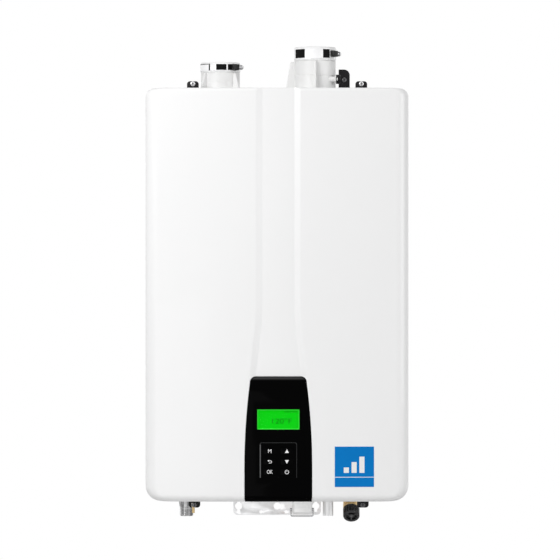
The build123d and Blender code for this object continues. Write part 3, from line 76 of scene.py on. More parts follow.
@dataclass(frozen=True)
class CasePlan:
    """Sizes of the case that several pieces share, in metres."""

    half_width: float = 0.220
    top: float = 0.060
    floor: float = -0.631
    front: float = -0.336
    split: float = -0.186
    sheet: float = 0.0012
    shift: float = 0.0022
    water_y: float = -0.080
    vent_y: float = -0.130
    intake_x: float = -0.0977
    exhaust_x: float = 0.0655
    lug_x: float = 0.1438
    lug_floor_shift: float = 0.0026


PLAN = CasePlan()


class Mesh:
    """Small workshop of bmesh shapes that end as objects at the origin."""

    @staticmethod
    def move(bm: Shape, place: Matrix | None) -> None:
        """Move a whole shape.

        Args:
            bm: The shape.
            place: Where it goes, or None where it stays.
        """
        if place is not None:
            bmesh.ops.transform(bm, matrix=place, verts=bm.verts)

    @staticmethod
    def shade(mesh: bpy.types.Mesh, smooth: float) -> None:
        """Shade a mesh smooth, apart from its sharp edges.

        Args:
            mesh: The mesh.
            smooth: Angle in degrees below which edges shade smooth.
        """
        mesh.polygons.foreach_set("use_smooth", [True] * len(mesh.polygons))
        mesh.set_sharp_from_angle(angle=math.radians(smooth))

    @staticmethod
    def finish(name: str, bm: Shape, place: Matrix | None = None, smooth: float = SMOOTH) -> Piece:
        """Turn a shape into a linked object with outward faces.

        Args:
            name: The object's name.
            bm: The shape, which is freed.
            place: Where it goes.
            smooth: Angle in degrees below which edges shade smooth.

        Returns:
            The new object.
        """
        Mesh.move(bm, place)
        bmesh.ops.remove_doubles(bm, verts=bm.verts, dist=WELD)
        bmesh.ops.recalc_face_normals(bm, faces=bm.faces)
        mesh = bpy.data.meshes.new(name)
        bm.to_mesh(mesh)
        bm.free()
        Mesh.shade(mesh, smooth)
        piece = bpy.data.objects.new(name, mesh)
        bpy.context.scene.collection.objects.link(piece)
        return piece

    @staticmethod
    def box(low: Point, high: Point, bevel: float, segments: int) -> Shape:
        """Box between two corners, with rounded edges.

        Args:
            low: Lowest corner.
            high: Highest corner.
            bevel: Radius of the edges.
            segments: Segments of each rounded edge.

        Returns:
            The box.
        """
        bm = bmesh.new()
        bmesh.ops.create_cube(bm, size=1.0)
        bmesh.ops.scale(bm, vec=[b - a for a, b in zip(low, high)], verts=bm.verts)
        bmesh.ops.translate(bm, vec=[(a + b) / 2 for a, b in zip(low, high)], verts=bm.verts)
        Mesh.bevel(bm, bm.edges[:], bevel, segments)
        return bm

    @staticmethod
    def bevel(bm: Shape, edges: Iterable[bmesh.types.BMEdge], radius: float, segments: int) -> None:
        """Round some edges.

        Args:
            bm: The shape.
            edges: The edges to round.
            radius: Radius of the rounding.
            segments: Segments across it.
        """
        bmesh.ops.bevel(bm, geom=list(edges), offset=radius, segments=segments, profile=0.5,
                        affect="EDGES", clamp_overlap=True, material=-1)

    @staticmethod
    def sharp_edges(bm: Shape, degrees: float) -> list[bmesh.types.BMEdge]:
        """Edges whose faces meet at more than an angle.

        Args:
            bm: The shape.
            degrees: The angle.

        Returns:
            The sharp edges.
        """
        bm.normal_update()
        limit = math.radians(degrees)
        return [edge for edge in bm.edges
                if len(edge.link_faces) == 2 and edge.calc_face_angle(0.0) > limit]

    @staticmethod
    def add(target: Shape, part: Shape, place: Matrix | None = None) -> None:
        """Copy one shape into another.

        Args:
            target: The shape that grows.
            part: The shape that is added, which is freed.
            place: Where it goes.
        """
        Mesh.move(part, place)
        mesh = bpy.data.meshes.new("part")
        part.to_mesh(mesh)
        part.free()
        target.from_mesh(mesh)
        bpy.data.meshes.remove(mesh)

    @staticmethod
    def lathe(profile: Sequence[Pair], steps: int,
              twist: Callable[[float, float], float] | None = None) -> Shape:
        """Turn a profile of radius and height about the Z axis.

        Args:
            profile: Points of radius and height, from one end to the other.
            steps: Steps round the axis.
            twist: Optional factor on the radius from angle and height.

        Returns:
            The turned shape, closed where the profile meets the axis.
        """
        bm = bmesh.new()
        verts = [bm.verts.new((radius, 0.0, height)) for radius, height in profile]
        edges = [bm.edges.new(pair) for pair in zip(verts, verts[1:])]
        bmesh.ops.spin(bm, geom=verts + edges, cent=(0, 0, 0), axis=(0, 0, 1), angle=2 * math.pi,
                       steps=steps, use_merge=True, use_duplicate=False, dvec=(0, 0, 0))
        bmesh.ops.remove_doubles(bm, verts=bm.verts, dist=1e-6)
        if twist is not None:
            for vert in bm.verts:
                vert.co.xy *= twist(math.atan2(vert.co.y, vert.co.x), vert.co.z)
        return bm

    @staticmethod
    def rounded_outline(width: float, height: float, radius: float) -> list[Pair]:
        """Outline of a rounded rectangle about the origin.

        Args:
            width: Full width.
            height: Full height.
            radius: Corner radius.

        Returns:
            The outline's points, in order.
        """
        x, y = width / 2 - radius, height / 2 - radius
        corners = ((x, y), (-x, y), (-x, -y), (x, -y))
        return [point for turn, place in enumerate(corners)
                for point in quarter_round(*place, radius, 90.0 * turn, 6)]

    @staticmethod
    def draw_out(bm: Shape, move: Point) -> None:
        """Draw the faces of a flat shape out into a solid.

        Args:
            bm: The shape.
            move: How far it is drawn along each axis.
        """
        made = bmesh.ops.extrude_face_region(bm, geom=bm.faces[:])
        moved = [item for item in made["geom"] if isinstance(item, bmesh.types.BMVert)]
        bmesh.ops.translate(bm, vec=move, verts=moved)

    @staticmethod
    def plate(outline: Sequence[Pair], depth: float, bevel: float = 0.0, segments: int = 2) -> Shape:
        """Flat plate of an outline, drawn out along +Z.

        Args:
            outline: Points in the XY plane, in order.
            depth: Thickness along +Z.
            bevel: Radius of its top and bottom edges.
            segments: Segments of the rounding.

        Returns:
            The plate.
        """
        bm = bmesh.new()
        bm.faces.new([bm.verts.new((x, y, 0.0)) for x, y in outline])
        Mesh.draw_out(bm, (0, 0, depth))
        bmesh.ops.recalc_face_normals(bm, faces=bm.faces)
        if bevel > 0:
            rims = [edge for edge in bm.edges if abs(edge.verts[0].co.z - edge.verts[1].co.z) < 1e-9]
            Mesh.bevel(bm, rims, bevel, segments)
        return bm

    @staticmethod
    def carve(piece: Piece, cutters: Sequence[Piece], smooth: float) -> None:
        """Cut other objects out of a piece and remove them.

        Args:
            piece: The piece that is cut.
            cutters: The objects that are taken away.
            smooth: Angle in degrees below which edges shade smooth.
        """
        for cutter in cutters:
            cut = piece.modifiers.new("cut", "BOOLEAN")
            cut.operation = "DIFFERENCE"
            cut.solver = "EXACT"
            cut.object = cutter
        Mesh.bake(piece, smooth)
        for cutter in cutters:
            mesh = cutter.data
            bpy.data.objects.remove(cutter)
            bpy.data.meshes.remove(mesh)

    @staticmethod
    def bake(piece: Piece, smooth: float) -> None:
        """Apply a piece's modifiers to its mesh.

        Args:
            piece: The piece.
            smooth: Angle in degrees below which edges shade smooth.
        """
        graph = bpy.context.evaluated_depsgraph_get()
        graph.update()
        baked = bpy.data.meshes.new_from_object(piece.evaluated_get(graph))
        old = piece.data
        piece.modifiers.clear()
        piece.data = baked
        bpy.data.meshes.remove(old)
        Mesh.shade(baked, smooth)

    @staticmethod
    def letters(text: str, size: float) -> Shape:
        """Flat text as a shape in the XY plane, centred on the origin.

        Args:
            text: What it reads.
            size: Height of the type.

        Returns:
            The letters.
        """
        curve = bpy.data.curves.new("letters", "FONT")
        curve.body = text
        curve.size = size
        curve.align_x = "CENTER"
        curve.align_y = "CENTER"
        holder = bpy.data.objects.new("letters", curve)
        bpy.context.scene.collection.objects.link(holder)
        mesh = bpy.data.meshes.new_from_object(holder)
        bm = bmesh.new()
        bm.from_mesh(mesh)
        bpy.data.objects.remove(holder)
        bpy.data.curves.remove(curve)
        bpy.data.meshes.remove(mesh)
        return bm


def quarter_round(x: float, y: float, radius: float, start: float, steps: int) -> list[Pair]:
    """Points of a quarter circle, anticlockwise.

    Args:
        x: Its centre.
        y: Its centre.
        radius: Its radius.
        start: Its first angle in degrees.
        steps: Steps along it.

    Returns:
        The points, from the first angle on.
    """
    turns = [math.radians(start + 90.0 * step / steps) for step in range(steps + 1)]
    return [(x + radius * math.cos(turn), y + radius * math.sin(turn)) for turn in turns]


def facing_front(x: float, y: float, z: float) -> Matrix:
    """Place that turns a shape drawn in XY, rising along +Z, to stand in XZ and rise towards -Y.

    Args:
        x: Where the shape's origin goes.
        y: Where the shape's origin goes.
        z: Where the shape's origin goes.

    Returns:
        The placing matrix.
    """
    return Matrix.Translation((x, y, z)) @ Matrix.Rotation(math.pi / 2, 4, "X")


def along(start: Point, direction: Point) -> Matrix:
    """Place that turns a shape's +Z along a direction.

    Args:
        start: Where its origin goes.
        direction: Where its +Z points.

    Returns:
        The placing matrix.
    """
    turn = Vector((0, 0, 1)).rotation_difference(Vector(direction).normalized())
    return Matrix.Translation(start) @ turn.to_matrix().to_4x4()


def add_node(nodes: bpy.types.Nodes, kind: str, values: dict | None = None,
             **settings: object) -> bpy.types.Node:
    """Add a shader node.

    Args:
        nodes: The nodes that it joins.
        kind: Its type, without the leading ShaderNode.
        values: Values of its inputs, by name or number.
        settings: Its other settings.

    Returns:
        The node.
    """
    node = nodes.new("ShaderNode" + kind)
    for name, setting in settings.items():
        setattr(node, name, setting)
    set_inputs(node, values or {})
    return node


def set_inputs(node: bpy.types.Node, values: dict) -> None:
    """Set the values of a node's inputs.

    Args:
        node: The node.
        values: The values, by name or number.
    """
    for name, value in values.items():
        node.inputs[name].default_value = value


class Effects:
    """Shader node groups that several finishes share."""

    def __init__(self) -> None:
        """Build each group once."""
        self.grain = self._grain()
        self.wear = self._wear()

    @staticmethod
    def _group(name: str, inputs: dict[str, float], outputs: Sequence[str]) -> bpy.types.NodeTree:
        """Start a shader node group that takes a place and some numbers.

        Args:
            name: The group's name.
            inputs: Defaults of its number sockets, by name.
            outputs: Names of the numbers that it puts out.

        Returns:
            The group, with its input and output nodes.
        """
        tree = bpy.data.node_groups.new(name, "ShaderNodeTree")
        tree.interface.new_socket("Place", in_out="INPUT", socket_type="NodeSocketVector")
        for label, value in inputs.items():
            socket = tree.interface.new_socket(label, in_out="INPUT", socket_type="NodeSocketFloat")
            socket.default_value = value
        for label in outputs:
            tree.interface.new_socket(label, in_out="OUTPUT", socket_type="NodeSocketFloat")
        tree.nodes.new("NodeGroupInput").name = "in"
        tree.nodes.new("NodeGroupOutput").name = "out"
        return tree

    def _grain(self) -> bpy.types.NodeTree:
        """Fine surface height with a slow drift of tone, in clouds or in crystals.

        Returns:
            The node group.
        """
        tree = self._group("surface_grain", {"Fine Scale": 900.0, "Broad Scale": 9.0, "Mix": 0.8,
                                             "Contrast": 1.0, "Crystals": 0.0}, ("Height", "Drift"))
        nodes = tree.nodes
        given, out = nodes["in"].outputs, nodes["out"].inputs
        fine = add_node(nodes, "TexNoise", {"Detail": 3.0})
        broad = add_node(nodes, "TexNoise", {"Detail": 2.0})
        cells = add_node(nodes, "TexVoronoi")
        blend = add_node(nodes, "Mix", data_type="FLOAT")
        kind = add_node(nodes, "Mix", data_type="FLOAT")
        centred = add_node(nodes, "Math", {1: 0.5}, operation="SUBTRACT")
        spread = add_node(nodes, "Math", operation="MULTIPLY")
        drift = add_node(nodes, "Math", {1: 0.5}, use_clamp=True)
        for source, target in (
                (given["Place"], fine.inputs["Vector"]), (given["Fine Scale"], fine.inputs["Scale"]),
                (given["Place"], broad.inputs["Vector"]), (given["Broad Scale"], broad.inputs["Scale"]),
                (given["Place"], cells.inputs["Vector"]), (given["Broad Scale"], cells.inputs["Scale"]),
                (given["Crystals"], kind.inputs[0]), (broad.outputs[0], kind.inputs[2]),
                (cells.outputs["Color"], kind.inputs[3]), (kind.outputs[0], centred.inputs[0]),
                (centred.outputs[0], spread.inputs[0]), (given["Contrast"], spread.inputs[1]),
                (spread.outputs[0], drift.inputs[0]), (drift.outputs[0], out["Drift"]),
                (given["Mix"], blend.inputs[0]), (broad.outputs[0], blend.inputs[2]),
                (fine.outputs[0], blend.inputs[3]), (blend.outputs[0], out["Height"])):
            tree.links.new(source, target)
        return tree

    def _wear(self) -> bpy.types.NodeTree:
        """Mask of rubbed convex edges, broken up by noise.

        Returns:
            The node group.
        """
        tree = self._group("edge_wear", {"Width": 12.0, "Break Up": 60.0}, ("Mask",))
        nodes = tree.nodes
        given = nodes["in"].outputs
        shape = add_node(nodes, "NewGeometry")
        edge = add_node(nodes, "Math", {1: 0.5}, operation="SUBTRACT")
        sharpen = add_node(nodes, "Math", operation="MULTIPLY", use_clamp=True)
        noise = add_node(nodes, "TexNoise", {"Detail": 4.0})
        broken = add_node(nodes, "Math", operation="MULTIPLY")
        for source, target in (
                (shape.outputs["Pointiness"], edge.inputs[0]), (edge.outputs[0], sharpen.inputs[0]),
                (given["Width"], sharpen.inputs[1]), (given["Place"], noise.inputs["Vector"]),
                (given["Break Up"], noise.inputs["Scale"]), (sharpen.outputs[0], broken.inputs[0]),
                (noise.outputs[0], broken.inputs[1]), (broken.outputs[0], nodes["out"].inputs["Mask"])):
            tree.links.new(source, target)
        return tree


class Pattern(Enum):
    """How a finish's grain and streaks lie: its stretch along each axis and its share of crystals."""

    CLOUDED = (1.0, 1.0, 1.0, 0.0)
    # Streaks stretched along Z: drawn grain on band steel, painted reflections of dark surroundings on the
    # plated inlet.
    DRAWN_AND_REFLECTED_STREAKS = (1.0, 1.0, 0.03, 0.0)
    SPANGLE = (1.0, 1.0, 1.0, 1.0)


@dataclass(frozen=True)
class Finish:
    """One finish: its colours, gloss and fine surface."""

    name: str
    colour: Colour
    second: Colour
    roughness: float
    metallic: float = 0.0
    pattern: Pattern = Pattern.CLOUDED
    contrast: float = 1.0
    fine: float = 900.0
    broad: float = 9.0
    bump: float = 0.05
    reach: float = 0.0002
    spread: float = 0.08
    worn: Colour | None = None
    wear_width: float = 12.0
    coat: float = 0.0
    specular: float = 0.5
    glow: float = 0.0
    through: float = 0.0
    bend: float = 1.5

    def build(self, effects: Effects) -> bpy.types.Material:
        """Make the node material, on the piece's own coordinates.

        Args:
            effects: The shared node groups.

        Returns:
            The material.
        """
        material = bpy.data.materials.new(self.name)
        material.use_nodes = True
        nodes, links = material.node_tree.nodes, material.node_tree.links
        shader = nodes["Principled BSDF"]
        source = add_node(nodes, "TexCoord")
        place = add_node(nodes, "Mapping", {"Scale": self.pattern.value[:3]})
        links.new(source.outputs["Object"], place.inputs["Vector"])
        grain = add_node(nodes, "Group", node_tree=effects.grain)
        set_inputs(grain, {"Fine Scale": self.fine, "Broad Scale": self.broad, "Contrast": self.contrast,
                           "Crystals": self.pattern.value[3]})
        links.new(place.outputs["Vector"], grain.inputs["Place"])
        tone = add_node(nodes, "Mix", data_type="RGBA")
        set_inputs(tone, {6: (*self.colour, 1.0), 7: (*self.second, 1.0)})
        links.new(grain.outputs["Drift"], tone.inputs[0])
        colour = tone.outputs[2]
        if self.worn is not None:
            wear = add_node(nodes, "Group", node_tree=effects.wear)
            set_inputs(wear, {"Width": self.wear_width})
            rubbed = add_node(nodes, "Mix", data_type="RGBA")
            set_inputs(rubbed, {7: (*self.worn, 1.0)})
            links.new(place.outputs["Vector"], wear.inputs["Place"])
            links.new(wear.outputs["Mask"], rubbed.inputs[0])
            links.new(colour, rubbed.inputs[6])
            colour = rubbed.outputs[2]
        links.new(colour, shader.inputs["Base Color"])
        rough = add_node(nodes, "MapRange", {"To Min": max(0.0, self.roughness - self.spread),
                                             "To Max": min(1.0, self.roughness + self.spread)})
        links.new(grain.outputs["Drift"], rough.inputs["Value"])
        links.new(rough.outputs[0], shader.inputs["Roughness"])
        if self.bump > 0:
            bump = add_node(nodes, "Bump", {"Strength": self.bump, "Distance": self.reach})
            links.new(grain.outputs["Height"], bump.inputs["Height"])
            links.new(bump.outputs["Normal"], shader.inputs["Normal"])
        set_inputs(shader, {"Metallic": self.metallic, "Coat Weight": self.coat, "Coat Roughness": 0.05,
                            "Specular IOR Level": self.specular, "Transmission Weight": self.through,
                            "IOR": self.bend})
        if self.glow > 0:
            links.new(colour, shader.inputs["Emission Color"])
            set_inputs(shader, {"Emission Strength": self.glow})
        return material


class Slot(Enum):
    """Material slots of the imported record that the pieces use."""

    PAINT = "white_paint"
    GALVANISED = "galvanised"
    WHITE = "white_plastic"
    GREY = "grey_plastic"
    BLACK = "black_plastic"
    RUBBER = "rubber"
    BAND = "band_steel"
    COPPER = "copper"
    BRASS = "brass"
    PLATED = "plated"
    CLEAR = "clear_window"
    DISPLAY = "display"
    LABEL = "label_blue"


def finishes() -> dict[str, Finish]:
    """Every finish that the pieces use, by name.

    Returns:
        The finishes.
    """
    made = (
        Finish("paint", (0.884, 0.884, 0.884), (0.865, 0.865, 0.866), 0.36, fine=520.0, broad=5.0,
               bump=0.035, reach=0.00008, spread=0.04, coat=0.22),
        Finish("galvanised_sheet", (0.78, 0.785, 0.79), (0.68, 0.69, 0.70), 0.42, metallic=0.55,
               pattern=Pattern.SPANGLE, fine=160.0, broad=70.0, bump=0.03, spread=0.1),
        # Painted light: a lighter copy of the galvanised sheet for the lower bracket, which sits in shade
        # under the case.
        Finish("bracket_zinc_painted_light", (0.96, 0.96, 0.965), (0.90, 0.905, 0.91), 0.44, metallic=0.7,
               pattern=Pattern.SPANGLE, fine=160.0, broad=70.0, bump=0.03, spread=0.1),
        # Painted light: a lighter copy of the pale plastic for the trap, which sits in the case's shade.
        Finish("trap_white_painted_light", (0.96, 0.96, 0.955), (0.94, 0.94, 0.935), 0.4, metallic=0.4, fine=1500.0,
               broad=14.0, bump=0.04, reach=0.0001),
        Finish("pale_plastic", (0.85, 0.85, 0.845), (0.81, 0.81, 0.805), 0.42, fine=1500.0, broad=14.0,
               bump=0.04, reach=0.0001),
        Finish("grey_moulding", (0.22, 0.225, 0.23), (0.17, 0.175, 0.18), 0.5, fine=1300.0, broad=18.0,
               bump=0.06),
        Finish("black_moulding", (0.004, 0.004, 0.0045), (0.008, 0.008, 0.0085), 0.38, fine=1400.0,
               broad=22.0, bump=0.06, worn=(0.03, 0.03, 0.031), wear_width=6.0, specular=0.16),
        Finish("gloss_black", (0.0006, 0.0006, 0.0007), (0.0010, 0.0010, 0.0011), 0.12, fine=300.0,
               broad=7.0, bump=0.006, spread=0.04, specular=0.016),
        Finish("key_black", (0.0006, 0.0006, 0.0007), (0.0011, 0.0011, 0.0012), 0.2, fine=1200.0,
               broad=30.0, bump=0.02, specular=0.02),
        Finish("rubber", (0.02, 0.02, 0.021), (0.032, 0.032, 0.033), 0.72, fine=1100.0, broad=26.0,
               bump=0.1),
        Finish("band_steel", (0.60, 0.60, 0.61), (0.48, 0.48, 0.49), 0.24, metallic=1.0,
               pattern=Pattern.DRAWN_AND_REFLECTED_STREAKS, fine=420.0, broad=40.0, bump=0.02),
        Finish("cast_aluminium", (0.60, 0.605, 0.61), (0.51, 0.515, 0.52), 0.46, metallic=0.85, fine=650.0,
               broad=34.0, bump=0.16, reach=0.0003, worn=(0.78, 0.78, 0.78), wear_width=6.0),
        Finish("copper", (0.80, 0.40, 0.25), (0.56, 0.25, 0.15), 0.32, metallic=1.0, fine=300.0, broad=26.0,
               bump=0.03, spread=0.12),
        Finish("brass", (0.80, 0.60, 0.30), (0.66, 0.46, 0.21), 0.28, metallic=1.0, fine=340.0, broad=30.0,
               bump=0.03, spread=0.1, worn=(0.9, 0.74, 0.45), wear_width=8.0),
        # Painted reflection: high-contrast dark streaks stand for dark surroundings mirrored in the plating.
        Finish("plated", (0.95, 0.95, 0.955), (0.22, 0.22, 0.225), 0.2, metallic=0.9, pattern=Pattern.DRAWN_AND_REFLECTED_STREAKS,
               contrast=3.2, broad=330.0, bump=0.01, spread=0.06),
        Finish("screw_zinc", (0.80, 0.80, 0.81), (0.62, 0.62, 0.63), 0.24, metallic=0.85, fine=700.0,
               broad=160.0, bump=0.02, spread=0.06),
        Finish("clear_pane", (0.97, 1.0, 0.97), (0.95, 1.0, 0.96), 0.0, bump=0.0, spread=0.0, specular=0.1,
               through=1.0, bend=1.06),
        Finish("lit_green", (0.0, 0.27, 0.001), (0.0, 0.29, 0.002), 0.5, fine=2000.0, broad=50.0, bump=0.01,
               specular=0.05, glow=1.0),
        Finish("lit_border", (0.015, 0.33, 0.018), (0.02, 0.35, 0.022), 0.5, fine=2000.0, broad=50.0,
               bump=0.01, specular=0.05, glow=1.0),
        Finish("display_mark", (0.001, 0.11, 0.003), (0.002, 0.13, 0.004), 0.6, fine=2000.0, broad=60.0,
               bump=0.01, specular=0.05),
        # Painted shade: flat dark marks for the shade in screw recesses and band slots, and the painted
        # shadow round the strap end.
        Finish("painted_shade_black", (0.003, 0.003, 0.003), (0.006, 0.006, 0.006), 0.8, broad=50.0, bump=0.02,
               specular=0.1),
        Finish("black_steel", (0.004, 0.004, 0.0045), (0.010, 0.010, 0.0105), 0.34, fine=500.0, broad=50.0,
               bump=0.03, worn=(0.08, 0.08, 0.08), wear_width=6.0, specular=0.14),
        Finish("cap_black", (0.004, 0.004, 0.0045), (0.009, 0.009, 0.0095), 0.36, fine=1400.0, broad=22.0,
               bump=0.06, worn=(0.14, 0.14, 0.142), wear_width=14.0, specular=0.22),
        # Darker copy of the zinc screw finish: painted shade on the lower cover screws, and the dark screw of
        # the vent bracket.
        Finish("screw_dark_and_shaded", (0.16, 0.16, 0.165), (0.07, 0.07, 0.072), 0.3, metallic=0.8, fine=700.0,
               broad=260.0, contrast=2.0, bump=0.02, spread=0.06),
        # Painted reflection: the steel band drawn near-white and barely metallic, standing for white
        # surroundings mirrored in it.
        Finish("band_white_painted_reflection", (0.96, 0.96, 0.965), (0.92, 0.92, 0.925), 0.3, metallic=0.15, fine=420.0,
               broad=40.0, bump=0.02),
        Finish("pale_rubber", (0.88, 0.88, 0.88), (0.83, 0.83, 0.83), 0.6, fine=1100.0, broad=26.0,
               bump=0.06),
        Finish("pale_grey", (0.92, 0.92, 0.92), (0.88, 0.88, 0.88), 0.42, metallic=0.4, fine=1300.0,
               broad=20.0, bump=0.04),
        # Print of the key legends; also the painted highlight on the test port cap.
        Finish("legend_and_highlight_white", (0.93, 0.93, 0.935), (0.88, 0.88, 0.885), 0.5, fine=1800.0, broad=60.0, bump=0.02),
        # Lit and shaded copies of the silver trim: a painted highlight on its left side and painted shade on
        # the rest.
        Finish("trim_lit_side", (0.12, 0.122, 0.125), (0.07, 0.071, 0.072), 0.34, broad=26.0, bump=0.02,
               specular=0.2),
        Finish("trim_shaded", (0.030, 0.031, 0.032), (0.018, 0.0185, 0.019), 0.34, broad=26.0, bump=0.02,
               specular=0.15),
        Finish("board_green", (0.02, 0.14, 0.06), (0.03, 0.18, 0.08), 0.45, fine=700.0, broad=80.0,
               bump=0.04),
        Finish("label_blue", (0.0, 0.19, 0.56), (0.0, 0.175, 0.52), 0.5, fine=1000.0, broad=30.0, bump=0.02,
               specular=0.1),
        Finish("label_pale", (0.86, 0.86, 0.86), (0.82, 0.82, 0.82), 0.5, fine=1000.0, broad=30.0,
               bump=0.02),
    )
    return {finish.name: finish for finish in made}


class Workshop:
    """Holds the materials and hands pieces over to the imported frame."""

    def __init__(self, frame: dict) -> None:
        """Build every material.
        """
        self.frame = frame
        effects = Effects()
        self.materials = {name: finish.build(effects) for name, finish in finishes().items()}

    def settle(self, piece: Piece, finish: str, body: str, slot: Slot, *nodes: str) -> Piece:
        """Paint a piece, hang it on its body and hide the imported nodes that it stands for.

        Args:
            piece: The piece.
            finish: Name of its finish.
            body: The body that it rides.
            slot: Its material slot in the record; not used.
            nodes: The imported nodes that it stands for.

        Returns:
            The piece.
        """
        piece.data.materials.clear()
        piece.data.materials.append(self.materials[finish])
        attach(piece, body)
        if nodes:
            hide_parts(*nodes)
        LOG.info("%s rides %s, %d faces", piece.name, body, len(piece.data.polygons))
        return piece

    def make(self, name: str, bm: Shape, finish: str, slot: Slot, *nodes: str, body: str = "case",
             place: Matrix | None = None, smooth: float = SMOOTH) -> Piece:
        """Turn a shape into a settled piece.

        Args:
            name: The piece's name.
            bm: The shape, which is freed.
            finish: Name of its finish.
            slot: Its material slot in the record.
            nodes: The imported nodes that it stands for.
            body: The body that it rides.
            place: Where it goes.
            smooth: Angle in degrees below which edges shade smooth.

        Returns:
            The piece.
        """
        return self.settle(Mesh.finish(name, bm, place, smooth), finish, body, slot, *nodes)

    def refine(self, node: str, finish: str, slot: Slot, bevel: float, name: str, body: str = "case") -> None:
        """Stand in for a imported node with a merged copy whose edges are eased.

        Args:
            node: The node.
            finish: Name of its finish.
            slot: Its material slot in the record.
            bevel: Radius of the eased edges.
            name: The new piece's name.
            body: The body that it rides.
        """
        bm = bmesh.new()
        bm.from_mesh(self.frame["nodes"][node].data)
        bmesh.ops.remove_doubles(bm, verts=bm.verts, dist=2e-6)
        bmesh.ops.dissolve_limit(bm, angle_limit=math.radians(0.6), verts=bm.verts, edges=bm.edges,
                                 delimit={"NORMAL"})
        if bevel > 0:
            Mesh.bevel(bm, Mesh.sharp_edges(bm, 40.0), bevel, 2)
        self.make(name, bm, finish, slot, node, body=body, smooth=30.0)

    def dress(self, node: str, finish: str) -> None:
        """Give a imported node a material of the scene.

        Args:
            node: The node.
            finish: Name of the finish.
        """
        packed = self.frame["nodes"][node]
        if not packed.material_slots:
            packed.data.materials.append(self.materials[finish])
        for place in packed.material_slots:
            place.material = self.materials[finish]


